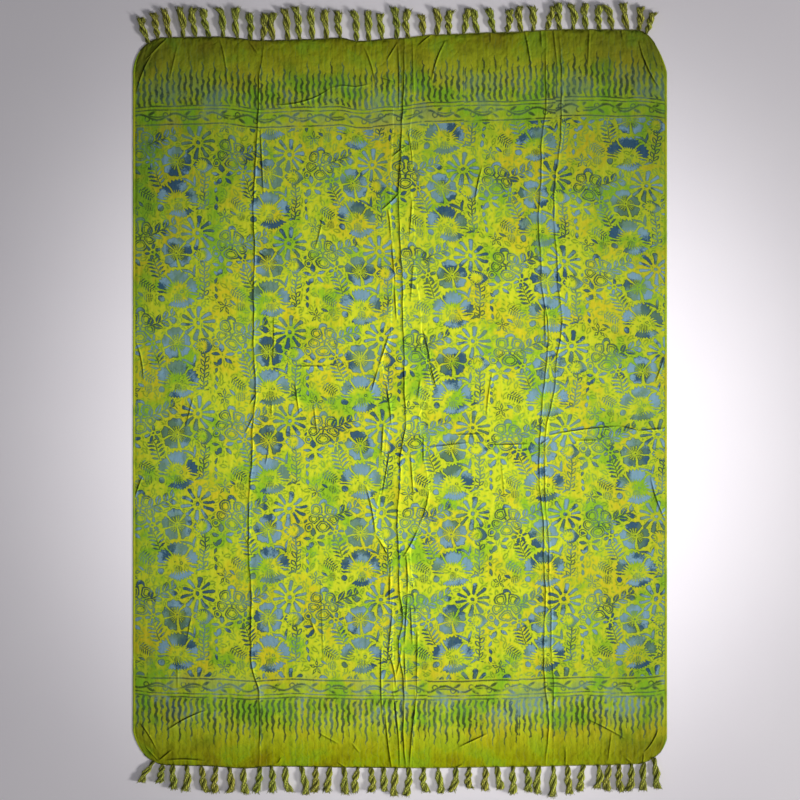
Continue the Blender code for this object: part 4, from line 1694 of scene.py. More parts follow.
@dataclass(frozen=True)
class PrintedRayon(Finish):
    """Block-printed, hand-dyed rayon; the reverse is the same print, fainter."""

    print_strength: float = 1.0
    # Strength of the painted shade beside folds and creases, and of the painted highlight on their crests
    painted_shade_strength: float = 0.98
    painted_highlight_strength: float = 0.60
    lime: Colour = screen_colour(196, 204, 40)
    gold: Colour = screen_colour(206, 182, 30)
    green: Colour = screen_colour(120, 176, 34)
    band_lime: Colour = screen_colour(156, 168, 4)
    band_brown: Colour = screen_colour(140, 134, 4)
    band_patch: float = 0.40
    end_shade: float = 0.29
    blue_bleed: float = 0.40
    blue_wash: Colour = screen_colour(78, 122, 112)
    side_shade: float = 0.27
    pale_ink: Colour = screen_colour(112, 147, 168)
    deep_ink: Colour = screen_colour(42, 76, 106)
    mossy_ink: Colour = screen_colour(90, 120, 84)
    olive_ink: Colour = screen_colour(42, 58, 40)
    clouds: float = 0.8
    border_ragged: float = 1.5
    block_ragged: float = 2.4
    brown_clouds: Span = (0.44, 0.68)
    green_clouds: Span = (0.45, 0.36)
    blue_clouds: Span = (0.48, 0.38)
    cool_clouds: Span = (0.56, 0.45)
    upper_rise: Span = (0.22, 0.74)
    outer_rise: Span = (0.26, 0.60)
    cool_rise: Span = (0.0, 0.1)
    cool_share: float = 0.85
    cool_fall: float = 0.45
    block_bleed: float = 0.42
    border_bleed: float = 0.9
    border_stain: float = 0.46
    slub_shade: float = 0.16
    slub_base: float = 0.92
    slub_gloss: float = 0.10
    relief_depth: float = 0.0024

    def dress(self, graph: Graph, shader: bpy.types.Node) -> None:
        """Feed the shader's colour, roughness and normal.

        Args:
            graph: The material's tree.
            shader: Its Principled shader.
        """
        flat = self.map_wire(graph, "FlatCloth")
        wash = DyeWash().put(graph, Flat=flat, Lime=self.lime, Gold=self.gold, Green=self.green,
                             Clouds=self.clouds)
        border = EndBorder().put(graph, Flat=flat, Ragged=self.border_ragged)
        block = BlockPrint().put(graph, Flat=flat, Ragged=self.block_ragged)
        plain = graph.mix(graph.step(wash["Cloud"], *self.brown_clouds), self.band_lime, self.band_brown)
        ground = graph.mix(border["Band"], wash["Color"], plain)
        across, along = graph.split(flat)
        patch = graph.step(wash["Cloud"], *self.green_clouds) * border["Band"] * self.band_patch
        ground = graph.mix(patch, ground, self.green)
        # Painted shade: the ground darkens towards the upper end and towards the sides, where the light falls
        # off
        upper = graph.step(along, *self.upper_rise) * self.end_shade
        outer = graph.step(abs(across), *self.outer_rise) * self.side_shade
        ground = graph.mix(upper + outer, ground, self.olive_ink)
        bleed = graph.most(block["Halo"] * border["Field"] * self.block_bleed,
                           border["Shade"] * wash["Cloud"] * self.border_bleed)
        ground = graph.mix(bleed, ground, self.green)
        bluish = graph.step(wash["Cloud"], *self.blue_clouds) * border["Shade"] * self.blue_bleed
        ground = graph.mix(bluish, ground, self.blue_wash)
        cool = graph.step(wash["Cloud"], *self.cool_clouds) * border["Shade"]
        cool = cool * (self.cool_share - graph.step(along, *self.cool_rise) * self.cool_fall)
        inside = graph.most(block["Inside"] * border["Field"], cool)
        tone = InkTone().put(graph, Flat=flat, Inside=inside, Pale=self.pale_ink, Deep=self.deep_ink,
                             Mossy=self.mossy_ink, Olive=self.olive_ink)
        ink = graph.most(block["Ink"] * border["Field"], border["Ink"])
        stain = graph.mix(border["Ink"] * (1.0 - cool) * self.border_stain, tone["Color"], self.olive_ink)
        colour = graph.mix(ink * tone["Cover"] * self.print_strength, ground, stain)
        weave = PlainWeave().put(graph, Flat=flat, Threads=THREADS)
        shade = graph.math("MULTIPLY_ADD", weave["Shade"], self.slub_shade, self.slub_base)
        # Painted shade darkens the colour beside folds and creases; painted highlight lightens their crests
        slot, painted_highlight = graph.split(self.map_wire(graph, "Gutter"))
        shade = shade * (1.0 - slot * self.painted_shade_strength) + painted_highlight * self.painted_highlight_strength
        colour = graph.mix(1.0, colour, graph.join3(shade), "MULTIPLY")
        graph.feed(shader.inputs["Base Color"], colour)
        graph.feed(shader.inputs["Roughness"], self.roughness + weave["Shade"] * self.slub_gloss)
        relief = self.crinkle(graph, flat, weave["Height"], border["Band"])
        self.bump(graph, shader, relief, 1.0, self.relief_depth)

    def crinkle(self, graph: Graph, flat: Wire, weave: Wire, band: Wire) -> Wire:
        """Height of fine wrinkles that run along the cloth, over the weave.

        Args:
            graph: The material's tree.
            flat: Flat cloth place.
            weave: The weave's height.
            band: 1 on the plain ends, where the wrinkles are strongest.

        Returns:
            The height.
        """
        long_way = graph.vector("MULTIPLY", flat, (88.0, 15.0, 0.0))
        wrinkle = graph.noise(long_way, 1.0, 1.0, 0.50) * (band * 0.5 + 0.70)
        crumple = abs(graph.noise(flat, 34.0, 2.0, 0.55) - 0.5) * (band * 2.3 + 1.2)
        crepe = graph.noise(flat, 170.0, 1.0, 0.5)
        return wrinkle + crumple + crepe * 0.20 + weave * 0.02


@dataclass(frozen=True)
class EdgeRayon(Finish):
    """The rolled and stitched edge, in the ground colour without print."""

    lime: Colour = screen_colour(176, 192, 34)
    gold: Colour = screen_colour(190, 178, 30)
    green: Colour = screen_colour(112, 160, 34)
    clouds: float = 0.7
    slub_shade: float = 0.35
    slub_base: float = 0.80
    slub_gloss: float = 0.10
    relief_depth: float = 0.0004

    def dress(self, graph: Graph, shader: bpy.types.Node) -> None:
        """Feed the shader's colour, roughness and normal.

        Args:
            graph: The material's tree.
            shader: Its Principled shader.
        """
        flat = self.map_wire(graph, "FlatCloth")
        wash = DyeWash().put(graph, Flat=flat, Lime=self.lime, Gold=self.gold, Green=self.green,
                             Clouds=self.clouds)
        weave = PlainWeave().put(graph, Flat=flat, Threads=THREADS)
        shade = graph.math("MULTIPLY_ADD", weave["Shade"], self.slub_shade, self.slub_base)
        graph.feed(shader.inputs["Base Color"], graph.mix(1.0, wash["Color"], graph.join3(shade), "MULTIPLY"))
        graph.feed(shader.inputs["Roughness"], self.roughness + weave["Shade"] * self.slub_gloss)
        self.bump(graph, shader, weave["Height"], 0.6, self.relief_depth)


@dataclass(frozen=True)
class TwistedYarn(Finish):
    """Dyed warp yarn, twisted into plies."""

    lime: Colour = screen_colour(232, 240, 100)
    gold: Colour = screen_colour(230, 220, 96)
    green: Colour = screen_colour(134, 180, 56)
    shadow: Colour = screen_colour(16, 22, 2)
    fibres: float = 44.0
    clouds: float = 0.35
    relief_depth: float = 0.0006

    def dress(self, graph: Graph, shader: bpy.types.Node) -> None:
        """Feed the shader's colour, roughness and normal.

        Args:
            graph: The material's tree.
            shader: Its Principled shader.
        """
        flat = self.map_wire(graph, "FlatCloth")
        strand = self.map_wire(graph, "Strand")
        wash = DyeWash().put(graph, Flat=flat, Lime=self.lime, Gold=self.gold, Green=self.green,
                             Clouds=self.clouds)
        twist = YarnTwist().put(graph, Strand=strand, Fibres=self.fibres)
        # Painted shade: the yarn darkens to the shadow colour in its grooves, between its fibres and at its
        # root
        colour = graph.mix(twist["Shade"], self.shadow, wash["Color"])
        graph.feed(shader.inputs["Base Color"], colour)
        graph.feed(shader.inputs["Roughness"], self.roughness + twist["Shade"] * 0.08)
        self.bump(graph, shader, twist["Height"], 0.9, self.relief_depth)


@dataclass(frozen=True)
class PaleFloor(Finish):
    """Plain pale sheet that the sarong lies on."""

    colour: Colour = screen_colour(250, 246, 250)
    shade: Colour = screen_colour(240, 235, 242)
    mottle: float = 0.5

    def dress(self, graph: Graph, shader: bpy.types.Node) -> None:
        """Feed the shader's colour, roughness and normal.

        Args:
            graph: The material's tree.
            shader: Its Principled shader.
        """
        place = Wire(graph, graph.node("ShaderNodeNewGeometry").outputs["Position"])
        broad = graph.noise(place, 2.6, 3.0, 0.6) - 0.5
        fine = graph.noise(place, 240.0, 2.0, 0.6) - 0.5
        share = (broad + fine * 0.35) * self.mottle + 0.5
        graph.feed(shader.inputs["Base Color"], graph.mix(share, self.shade, self.colour))


def new_piece(name: str, points: Sequence[Point], faces: Sequence[Sequence[int]],
              maps: Dict[str, Callable[[Array], Array]]) -> bpy.types.Object:
    """Make a smooth mesh object with UV maps.

    Args:
        name: The piece's name.
        points: Its points, in metres.
        faces: Its faces, as lists of point numbers.
        maps: For each UV map, a function from point numbers to UV pairs.

    Returns:
        The object, linked to the scene.
    """
    mesh = bpy.data.meshes.new(name)
    mesh.from_pydata([tuple(point) for point in points], [], faces)
    corner_points = np.empty(len(mesh.loops), np.int32)
    mesh.loops.foreach_get("vertex_index", corner_points)
    for map_name, function in maps.items():
        layer = mesh.uv_layers.new(name=map_name)
        layer.data.foreach_set("uv", np.asarray(function(corner_points), np.float32).ravel())
    mesh.shade_smooth()
    mesh.update()
    piece = bpy.data.objects.new(name, mesh)
    bpy.context.scene.collection.objects.link(piece)
    return piece


@dataclass
class Cloth:
    """The printed panel as one closed shell, with finer cells along its folds."""

    lay: ClothLay
    coarse: float = 0.0117
    fold_bands: Tuple[float, ...] = (0.0068, 0.0040, 0.0021)
    name: str = "cloth"
    nodes: Tuple[str, ...] = ("panel",)
    underside: float = 0.0001
    map_side: float = 1.62
    reverse_scale: float = 0.34
    rim_margin: float = 0.0012

    def lattice(self) -> Tuple[List[Tuple[int, int, int]], int, int]:
        """Split the flat cloth into square cells, finer near folds and creases.

        Returns:
            The cells as (column, row, size) in finest steps, and the lattice's size.
        """
        full = 2 ** len(self.fold_bands)
        across = 2 * int(round(WIDTH / self.coarse / 2)) * full
        along = 2 * int(round(LENGTH / self.coarse / 2)) * full
        cells = [(i, j, full) for j in range(0, along, full) for i in range(0, across, full)]
        done: List[Tuple[int, int, int]] = []
        size = full
        for band in self.fold_bands:
            middles = np.array([(i + size / 2, j + size / 2) for i, j, _ in cells])
            u = middles[:, 0] * (WIDTH / across) - HALF_WIDTH
            v = middles[:, 1] * (LENGTH / along) - HALF_LENGTH
            near = self.lay.line_distance(u, v) < band + size * (WIDTH / across) * 0.5
            half = size // 2
            split: List[Tuple[int, int, int]] = []
            for (i, j, _), close in zip(cells, near):
                if close:
                    split += [(i + a, j + b, half) for a in (0, half) for b in (0, half)]
                else:
                    done.append((i, j, size))
            cells = split
            size = half
        return done + cells, across, along

    def faces(self, cells: List[Tuple[int, int, int]],
              also: Sequence[Tuple[int, int]] = ()) -> Tuple[Array, List[List[int]]]:
        """Turn cells into faces that share every point on their edges.

        Args:
            cells: The cells, in finest steps.
            also: Lattice points that the faces have to pass through as well.

        Returns:
            The lattice points used, and the faces as lists of point numbers.
        """
        number: Dict[Tuple[int, int], int] = {place: index for index, place in enumerate(also)}
        for i, j, size in cells:
            for corner in ((i, j), (i + size, j), (i + size, j + size), (i, j + size)):
                number.setdefault(corner, len(number))
        faces: List[List[int]] = []
        for i, j, size in cells:
            ring: List[Tuple[int, int]] = []
            ring += [(i + k, j) for k in range(size)]
            ring += [(i + size, j + k) for k in range(size)]
            ring += [(i + size - k, j + size) for k in range(size)]
            ring += [(i, j + size - k) for k in range(size)]
            faces.append([number[place] for place in ring if place in number])
        return np.array(list(number)), faces

    def rim(self, points: Array, across: int, along: int) -> List[int]:
        """List the lattice points on the border, going round it.

        Args:
            points: The lattice points.
            across: The lattice's last column.
            along: The lattice's last row.

        Returns:
            The point numbers in order.
        """
        columns, rows = points[:, 0], points[:, 1]
        low = np.nonzero(rows == 0)[0]
        right = np.nonzero((columns == across) & (rows > 0))[0]
        high = np.nonzero((rows == along) & (columns < across))[0]
        left = np.nonzero((columns == 0) & (rows > 0) & (rows < along))[0]
        ordered = list(low[np.argsort(columns[low])])
        ordered += list(right[np.argsort(rows[right])])
        ordered += list(high[np.argsort(-columns[high])])
        ordered += list(left[np.argsort(-rows[left])])
        return [int(index) for index in ordered]

    def spread(self, points: Array) -> Array:
        """Place of each point in the map that bakes keep, with the whole width and length."""
        return (points[:, :2] + (HALF_WIDTH, self.map_side / 2)) / self.map_side

    def build(self) -> bpy.types.Object:
        """Build the shell: upper face, underside and the thin rim between them.

        Returns:
            The cloth piece.
        """
        cells, across, along = self.lattice()
        lattice, faces = self.faces(cells)
        border = self.rim(lattice, across, along)
        wide = 2 ** (len(self.fold_bands) + 1)
        below = [(i, j, wide) for j in range(0, along, wide) for i in range(0, across, wide)]
        edge_places = [tuple(int(step) for step in lattice[index]) for index in border]
        under_lattice, under_faces = self.faces(below, edge_places)
        count = len(lattice)
        all_places = np.concatenate([lattice, under_lattice])
        u = all_places[:, 0] * (WIDTH / across) - HALF_WIDTH
        v = all_places[:, 1] * (LENGTH / along) - HALF_LENGTH
        x, y = self.lay.place(u, v)
        z = self.lay.lift(u, v)
        z[count:] = self.underside
        points = np.stack([x, y, z], 1)
        turns = list(zip(range(len(border)), border, border[1:] + border[:1]))
        rim_faces = [[a, count + k, count + (k + 1) % len(border), b] for k, a, b in turns]
        reverse = [[index + count for index in reversed(face)] for face in under_faces]
        flat = np.stack([u, v], 1)
        # Painted shade and painted highlight along folds and creases, kept in a UV map for the material
        fold_shade_and_highlight = np.zeros((len(u), 2))
        shades_and_highlights = self.lay.fold_shade_and_highlight(u[:count], v[:count])
        fold_shade_and_highlight[:count] = np.stack(shades_and_highlights, 1)
        spread = self.spread(points)
        spread[count:] = spread[count:] * self.reverse_scale + (1.0 - 0.73 * self.reverse_scale, 0.0)
        piece = new_piece(
            self.name, points.tolist(), faces + rim_faces + reverse,
            {
                "OFBake": lambda corners: spread[corners],
                "FlatCloth": lambda corners: flat[corners],
                "Gutter": lambda corners: fold_shade_and_highlight[corners],
            },
        )
        self.map_rim(piece, sum(len(face) for face in faces), rim_faces, spread)
        slots = np.zeros(len(piece.data.polygons), np.int32)
        slots[len(faces) + len(rim_faces):] = 1
        piece.data.polygons.foreach_set("material_index", slots)
        return piece

    def map_rim(self, piece: bpy.types.Object, first: int, rim_faces: List[List[int]],
                spread: Array) -> None:
        """Keep the rim's faces beside the upper face in the map that bakes keep.

        Args:
            piece: The cloth piece.
            first: The first face corner of the rim.
            rim_faces: The rim's faces.
            spread: Place of each point in the map.
        """
        middle = np.array((HALF_WIDTH / self.map_side, 0.5))
        layer = piece.data.uv_layers["OFBake"].data
        for index, (a, _, _, b) in enumerate(rim_faces):
            for offset, (point, out) in enumerate(((a, 0.0), (a, 1.0), (b, 1.0), (b, 0.0))):
                away = spread[point] - middle
                step = away / np.linalg.norm(away) * self.rim_margin * out
                layer[first + index * 4 + offset].uv = tuple(spread[point] + step)

    def dress(self, piece: bpy.types.Object) -> None:
        """Give the face its print and the reverse a fainter one.

        Args:
            piece: The cloth piece.
        """
        piece.data.materials.append(PrintedRayon("printed_rayon").material())
        piece.data.materials.append(
            PrintedRayon("printed_rayon_reverse", print_strength=0.7).material()
        )

    def make(self) -> bpy.types.Object:
        """Build, dress and fit the cloth over its solid.

        Returns:
            The cloth piece.
        """
        piece = self.build()
        self.dress(piece)
        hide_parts(*self.nodes)
        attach(piece, "root")
        return piece


@dataclass
class Skin:
    """A growing list of points, faces and strand places for tube-like pieces."""

    points: List[Point] = field(default_factory=list)
    faces: List[List[int]] = field(default_factory=list)
    strand: List[Tuple[float, float]] = field(default_factory=list)
    flat: List[Tuple[float, float]] = field(default_factory=list)

    def ring(self, ring: Sequence[Point], along: float, flat: Tuple[float, float]) -> List[int]:
        """Add a ring of points.

        Args:
            ring: The points, going round.
            along: How far along the strand it is.
            flat: The cloth place that gives its dye.

        Returns:
            The numbers of the points.
        """
        start = len(self.points)
        self.points += list(ring)
        self.strand += [(index / len(ring), along) for index in range(len(ring))]
        self.flat += [flat] * len(ring)
        return list(range(start, len(self.points)))

    def bridge(self, first: List[int], second: List[int]) -> None:
        """Join two rings with a band of faces.

        Args:
            first: The first ring's point numbers.
            second: The second ring's, in the same order.
        """
        count = len(first)
        for i in range(count):
            j = (i + 1) % count
            self.faces.append([first[i], first[j], second[j], second[i]])

    def tube(self, rings: Sequence[Tuple[Sequence[Point], float, Tuple[float, float]]]) -> None:
        """Add a closed tube through rings, with a flat cap at each end.

        Args:
            rings: For each ring its points, its place along the strand and its cloth place.
        """
        made = [self.ring(*ring) for ring in rings]
        for first, second in zip(made, made[1:]):
            self.bridge(first, second)
        self.faces.append(made[0][::-1])
        self.faces.append(made[-1])

    def piece(self, name: str) -> bpy.types.Object:
        """Turn the skin into an object with its strand and dye maps.

        Args:
            name: The object's name.

        Returns:
            The object.
        """
        strand = np.array(self.strand)
        flat = np.array(self.flat)
        return new_piece(
            name, self.points, self.faces,
            {"Strand": lambda corners: strand[corners], "FlatCloth": lambda corners: flat[corners]},
        )


HEM_SWELL = (Wave(0.10, 210.0), Wave(0.06, 71.0))
QUARTERS = (0.0, math.pi / 2, math.pi, 1.5 * math.pi)


@dataclass
class RolledHem:
    """A narrow rolled edge with its line of small stitches."""

    lay: ClothLay
    side: Side
    node: str
    width: float = 0.0050
    height: float = 0.0023
    rings: int = 420
    around: int = 10
    end_gap: float = 0.0065
    stitch_pitch: float = 0.0032
    stitch_length: float = 0.0021
    stitch_radius: float = 0.00032
    stitch_inset: float = 0.72
    stitch_rise: float = 0.86
    stitch_sink: float = 0.6
    stitch_shape: Tuple[Tuple[float, float], ...] = ((0.0, 0.5), (0.25, 1.0), (0.75, 1.0), (1.0, 0.5))
    fullness: float = 0.9
    rest_height: float = 0.0001

    def section(self, v: float) -> List[Point]:
        """The hem's rounded section at one place along it.

        Args:
            v: The place along the cloth.

        Returns:
            The section's points, going round.
        """
        swell = 1.0 + sum(wave.at(v) for wave in HEM_SWELL)
        ring: List[Point] = []
        for index in range(self.around):
            angle = 2 * math.pi * index / self.around
            across = HALF_WIDTH - self.width / 2 + self.width / 2 * math.cos(angle)
            rise = self.height / 2 * (1.0 + math.sin(angle) * swell * self.fullness)
            x, y = self.lay.point(self.side.value * across, v)
            ring.append((x, y, max(rise, self.rest_height)))
        return ring

    def stitches(self, skin: Skin) -> None:
        """Add the running stitches along the hem's inner edge.

        Args:
            skin: Where their faces go.
        """
        half = HALF_LENGTH - self.end_gap
        count = int(2 * half / self.stitch_pitch)
        across = self.side.value * (HALF_WIDTH - self.width * self.stitch_inset)
        for index in range(count):
            start = -half + index * self.stitch_pitch
            rings = []
            for share, size in self.stitch_shape:
                v = start + share * self.stitch_length
                x, y = self.lay.point(across, v)
                radius = self.stitch_radius * size
                middle = self.height * self.stitch_rise + radius * self.stitch_sink
                ring = [
                    (x + radius * math.cos(turn), y, middle + radius * math.sin(turn))
                    for turn in QUARTERS
                ]
                rings.append((ring, v, (across, v)))
            skin.tube(rings)

    def make(self) -> bpy.types.Object:
        """Build, dress and fit the hem over its solid.

        Returns:
            The hem piece.
        """
        skin = Skin()
        half = HALF_LENGTH - self.end_gap
        rings = []
        for index in range(self.rings):
            v = -half + 2 * half * index / (self.rings - 1)
            rings.append((self.section(v), v, (self.side.value * HALF_WIDTH, v)))
        skin.tube(rings)
        self.stitches(skin)
        piece = skin.piece(f"rolled_{self.node}")
        piece.data.materials.append(EdgeRayon("edge_rayon", roughness=0.7, sheen=0.08).material())
        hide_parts(self.node)
        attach(piece, "root")
        return piece


@dataclass
class Fringe:
    """A row of two-ply twisted locks with frayed tips, on the cloth's end edge."""

    lay: ClothLay
    end: End
    locks: Sequence[Lock]
    node: str
    neck: float = 0.0044
    belly: float = 0.0080
    tip: float = 0.0092
    clearance: float = 0.0005
    rest_height: float = 0.0001
    sway: float = 0.0036
    hook: float = 0.0062
    wriggle: float = 0.0020
    sway_step: float = 2.4
    wriggle_rate: float = 9.0
    wriggle_step: float = 1.3
    hook_step: float = 1.9
    hook_start: float = 0.6
    hook_power: int = 5
    turns: float = 1.15
    turn_spread: float = 0.35
    turn_step: float = 1.7
    ply_reach: float = 0.93
    ply_offset: float = 0.44
    ply_share: float = 0.60
    ply_swell: float = 0.07
    ply_swell_rate: float = 31.0
    close_rate: float = 6.0
    close_power: float = 0.6
    ply_start_step: float = 1.1
    dye_edge: float = 0.98
    dye_reach: float = 0.02
    rings: int = 30
    sides: int = 10
    hairs: int = 18
    hair_radius: float = 0.0009
    hair_turn: float = 0.3
    hair_spread: Span = (0.25, 1.0)
    hair_reach: Span = (0.84, 0.99)
    hair_start: Span = (0.58, 0.78)
    hair_root: float = 0.62
    hair_curve: float = 1.4
    hair_taper: float = 0.55
    hair_flatten: float = 0.7
    hair_rings: int = 5
    hair_strand: float = 0.07
    fray: float = 0.0125
    flatten: float = 0.86
    edge_radius: float = 0.0011
    edge_rings: int = 240
    edge_sides: int = 6
    edge_swell: float = 0.12
    edge_swell_rate: float = 700.0
    edge_lift: float = 0.0002
    root_inset: float = 0.002
    seed: int = 11

    def radius(self, part: float) -> float:
        """The whole lock's radius at part of its way to the tip.

        Args:
            part: 0 at the root, 1 at the tip.

        Returns:
            The radius, in metres.
        """
        rise = math.sin(math.pi * part)
        end = self.neck if part < 0.5 else self.tip
        return end + (self.belly - end) * rise

    def middle(self, lock: Lock, index: int, start: Tuple[float, float], part: float) -> Point:
        """The middle of a lock at part of its way to the tip.

        Args:
            lock: The lock.
            index: The lock's number, which sets its chance bends.
            start: Where its root leaves the cloth.
            part: 0 at the root, 1 at the tip.

        Returns:
            The middle's place.
        """
        bend = self.sway * math.sin(index * self.sway_step) * math.sin(math.pi * part)
        bend += self.wriggle * math.sin(part * self.wriggle_rate + index * self.wriggle_step) * part
        bend += self.hook * math.sin(index * self.hook_step + self.hook_start) * part ** self.hook_power
        x = start[0] + (lock.root + lock.lean - start[0]) * part + bend
        y = start[1] + (lock.reach - start[1]) * part
        return x, y, self.clearance + self.radius(part) * self.flatten

    def ply(self, skin: Skin, lock: Lock, index: int, start: Tuple[float, float], phase: float) -> None:
        """Add one of a lock's two plies, wound round the lock's middle.

        Args:
            skin: Where its faces go.
            lock: The lock.
            index: The lock's number, which sets its chance turns.
            start: Where its root leaves the cloth.
            phase: The ply's first turn, in radians.
        """
        length = abs(lock.reach - start[1])
        turns = self.turns + self.turn_spread * math.sin(index * self.turn_step)
        rings = []
        for step in range(self.rings):
            part = step / (self.rings - 1) * self.ply_reach
            x, y, z = self.middle(lock, index, start, part)
            radius = self.radius(part)
            turn = phase + 2 * math.pi * turns * part
            off = radius * self.ply_offset
            swell = self.ply_swell * math.sin(part * self.ply_swell_rate + index)
            thick = radius * (self.ply_share + swell)
            close = min(1.0, (1.0 - part) * self.close_rate) ** self.close_power
            ring = []
            for side in range(self.sides):
                angle = 2 * math.pi * side / self.sides + turn
                height = z + (off * math.sin(turn) + thick * close * math.sin(angle)) * self.flatten
                ring.append((
                    x + off * math.cos(turn) + thick * close * math.cos(angle),
                    y,
                    max(height, self.rest_height),
                ))
            dyed = (lock.root, self.end.value * HALF_LENGTH * self.dye_edge + part * self.dye_reach)
            rings.append((ring, part * length, dyed))
        skin.tube(rings)

    def frayed(self, skin: Skin, lock: Lock, index: int, start: Tuple[float, float],
               chance: np.random.Generator) -> None:
        """Add the loose yarn ends that spread out of a lock's tip.

        Args:
            skin: Where their faces go.
            lock: The lock.
            index: The lock's number.
            start: Where its root leaves the cloth.
            chance: Seeded chance.
        """
        for hair in range(self.hairs * 2):
            turn = 2 * math.pi * hair / (self.hairs * 2) + chance.uniform(-self.hair_turn, self.hair_turn)
            spread = self.fray * chance.uniform(*self.hair_spread)
            reach = chance.uniform(*self.hair_reach)
            first = chance.uniform(*self.hair_start)
            rings = []
            for step in range(self.hair_rings):
                share = step / (self.hair_rings - 1)
                part = first + (reach - first) * share
                x, y, z = self.middle(lock, index, start, part)
                out = self.radius(part) * self.hair_root * (1 - share) + spread * share ** self.hair_curve
                radius = self.hair_radius * (1.0 - self.hair_taper * share)
                cx = x + out * math.cos(turn)
                cz = max(z + out * math.sin(turn) * self.hair_flatten, self.clearance + radius)
                ring = [
                    (cx + radius * math.cos(quarter), y, cz + radius * math.sin(quarter))
                    for quarter in QUARTERS
                ]
                rings.append((ring, part * self.hair_strand, (lock.root, self.end.value * HALF_LENGTH)))
            skin.tube(rings)

    def edge_row(self, skin: Skin) -> None:
        """Add the thin bound row of yarn that the locks grow out of.

        Args:
            skin: Where its faces go.
        """
        rings = []
        turns = [2 * math.pi * side / self.edge_sides for side in range(self.edge_sides)]
        for step in range(self.edge_rings + 1):
            u = -HALF_WIDTH + WIDTH * step / self.edge_rings
            v = self.end.value * (HALF_LENGTH - self.edge_radius)
            x, y = self.lay.point(u, v)
            radius = self.edge_radius * (1.0 + self.edge_swell * math.sin(u * self.edge_swell_rate))
            ring = [
                (x, y + radius * math.cos(angle), radius + self.edge_lift + radius * math.sin(angle))
                for angle in turns
            ]
            rings.append((ring, u, (u, v)))
        skin.tube(rings)

    def make(self) -> bpy.types.Object:
        """Build, dress and fit the fringe over its solid.

        Returns:
            The fringe piece.
        """
        skin = Skin()
        chance = np.random.default_rng(self.seed + self.end.value)
        self.edge_row(skin)
        for index, lock in enumerate(self.locks):
            start = self.lay.point(lock.root, self.end.value * (HALF_LENGTH - self.root_inset))
            first = index * self.ply_start_step
            self.ply(skin, lock, index, start, first)
            self.ply(skin, lock, index, start, first + math.pi)
            self.frayed(skin, lock, index, start, chance)
        piece = skin.piece(f"{self.node}_yarn")
        piece.data.materials.append(TwistedYarn(f"{self.node}_yarn", roughness=0.8, sheen=0.1).material())
        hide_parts(self.node)
        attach(piece, "root")
        return piece


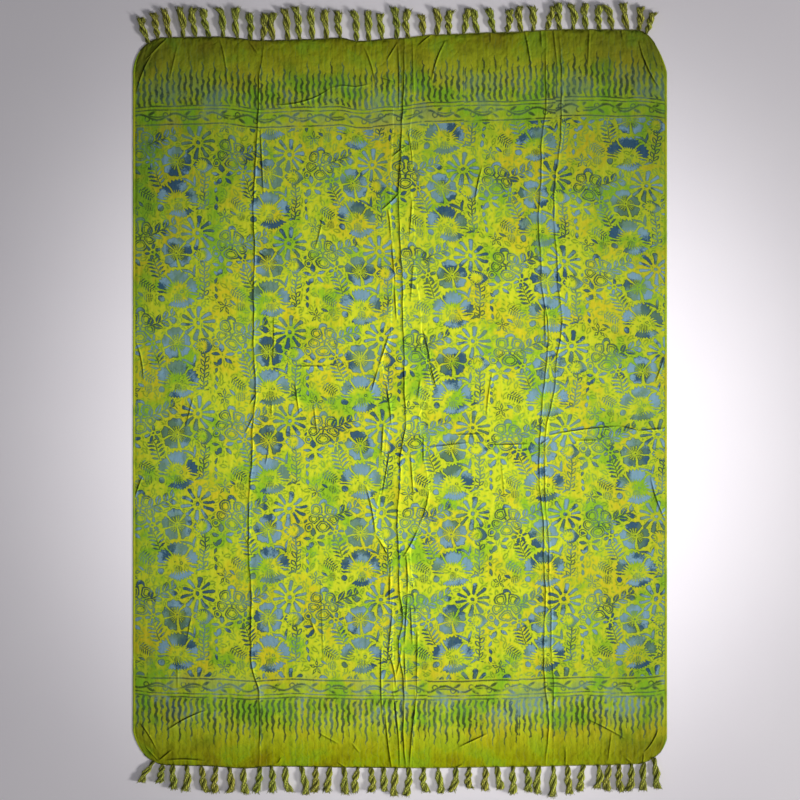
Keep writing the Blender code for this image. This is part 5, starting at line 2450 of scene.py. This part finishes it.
@dataclass
class Studio:
    """Pale floor, soft light from the right and a camera straight above."""

    frame_pixels: int = 800
    lens: float = 85.0
    sensor: float = 36.0
    floor_half: float = 6.0
    floor_drop: float = 0.0006
    key_power: float = 165.0
    fill_power: float = 5.0
    pool_power: float = 235.0
    pool_place: Point = (0.50, -0.26, 2.7)
    pool_aim: Span = (0.10, -0.06)
    pool_cone: float = 42.0
    key_place: Point = (4.2, -1.7, 3.1)
    key_aim: Point = (0.1, -0.2, 0.0)
    key_size: float = 0.9
    key_colour: Tuple[float, float, float] = (1.0, 0.985, 0.96)
    fill_place: Point = (-1.6, -1.8, 2.6)
    fill_size: float = 2.2
    fill_colour: Tuple[float, float, float] = (0.96, 0.97, 1.0)
    pool_softness: float = 0.25
    sky: Colour = (0.93, 0.94, 1.0, 1.0)
    ambient: float = 0.15

    def floor(self) -> bpy.types.Object:
        """Lay the floor just under the cloth.

        Returns:
            The floor.
        """
        half = self.floor_half
        corners = [(-half, -half), (half, -half), (half, half), (-half, half)]
        mesh = bpy.data.meshes.new("floor")
        mesh.from_pydata([(x, y, -self.floor_drop) for x, y in corners], [], [(0, 1, 2, 3)])
        made = bpy.data.objects.new("floor", mesh)
        bpy.context.scene.collection.objects.link(made)
        made.data.materials.append(PaleFloor("pale_floor", roughness=0.9).material())
        return made

    def lamp(self, name: str, place: Point, target: Point, size: float, power: float,
             colour: Tuple[float, float, float]) -> None:
        """Add a square area lamp.

        Args:
            name: The lamp's name.
            place: Where it stands.
            target: What it faces.
            size: Its side, in metres.
            power: Its power, in watts.
            colour: Its colour.
        """
        light = bpy.data.lights.new(name, "AREA")
        light.size = size
        light.energy = power
        light.color = colour
        made = bpy.data.objects.new(name, light)
        made.location = place
        away = [b - a for a, b in zip(place, target)]
        flat = math.hypot(away[0], away[1])
        made.rotation_euler = (math.atan2(flat, -away[2]), 0.0, math.atan2(away[1], away[0]) - math.pi / 2)
        bpy.context.scene.collection.objects.link(made)

    def pool(self) -> None:
        """Add a soft-edged spot that brightens the middle of the cloth.

        Its edge falls off towards the corners, as the photograph's light does.
        """
        light = bpy.data.lights.new("pool", "SPOT")
        light.energy = self.pool_power
        light.spot_size = math.radians(self.pool_cone)
        light.spot_blend = 1.0
        light.shadow_soft_size = self.pool_softness
        made = bpy.data.objects.new("pool", light)
        made.location = self.pool_place
        across, along = (b - a for a, b in zip(self.pool_place, self.pool_aim))
        tilt = math.atan2(math.hypot(across, along), self.pool_place[2])
        made.rotation_euler = (tilt, 0.0, math.atan2(along, across) - math.pi / 2)
        bpy.context.scene.collection.objects.link(made)

    def lights(self) -> None:
        """Place the lamps and the pale surroundings.

        The key light comes low from the right, so that folds show; the fill softens it.
        """
        middle = (0.0, 0.0, 0.0)
        self.lamp("key", self.key_place, self.key_aim, self.key_size, self.key_power, self.key_colour)
        self.lamp("fill", self.fill_place, middle, self.fill_size, self.fill_power, self.fill_colour)
        self.pool()
        world = bpy.context.scene.world or bpy.data.worlds.new("surroundings")
        bpy.context.scene.world = world
        world.use_nodes = True
        back = world.node_tree.nodes["Background"]
        back.inputs["Color"].default_value = self.sky
        back.inputs["Strength"].default_value = self.ambient

    def camera(self) -> None:
        """Hang the camera straight above, so that a pixel is one of the photograph's.

        Its height follows from the frame's width on the floor and from the lens.
        """
        width = self.frame_pixels * PIXEL
        lens = bpy.data.cameras.new("above")
        lens.lens = self.lens
        lens.sensor_width = self.sensor
        made = bpy.data.objects.new("above", lens)
        made.location = (0.0, 0.0, width * self.lens / self.sensor)
        bpy.context.scene.collection.objects.link(made)
        bpy.context.scene.camera = made

    def make(self) -> None:
        """Set up the whole studio.

        The standard view transform keeps the dyes as bright as they are set.
        """
        self.floor()
        self.lights()
        self.camera()
        bpy.context.scene.view_settings.view_transform = "Standard"


def main() -> None:
    """Build the sarong's pieces in order and report each one.

    The studio comes first, then the cloth, its hems and its fringes.
    """
    logging.basicConfig(level=logging.INFO, format="%(name)s: %(message)s")
    Studio().make()
    lay = ClothLay()
    cloth = Cloth(lay).make()
    extras = [
        RolledHem(lay, Side.LEFT, "hem_left").make(),
        RolledHem(lay, Side.RIGHT, "hem_right").make(),
        Fringe(lay, End.TOP, TOP_LOCKS, "fringe_top").make(),
        Fringe(lay, End.BOTTOM, BOTTOM_LOCKS, "fringe_bottom").make(),
    ]
    for piece in [cloth, *extras]:
        LOG.info("%s: %d points, %d faces", piece.name, len(piece.data.vertices), len(piece.data.polygons))


if __name__ == "__main__":
    main()
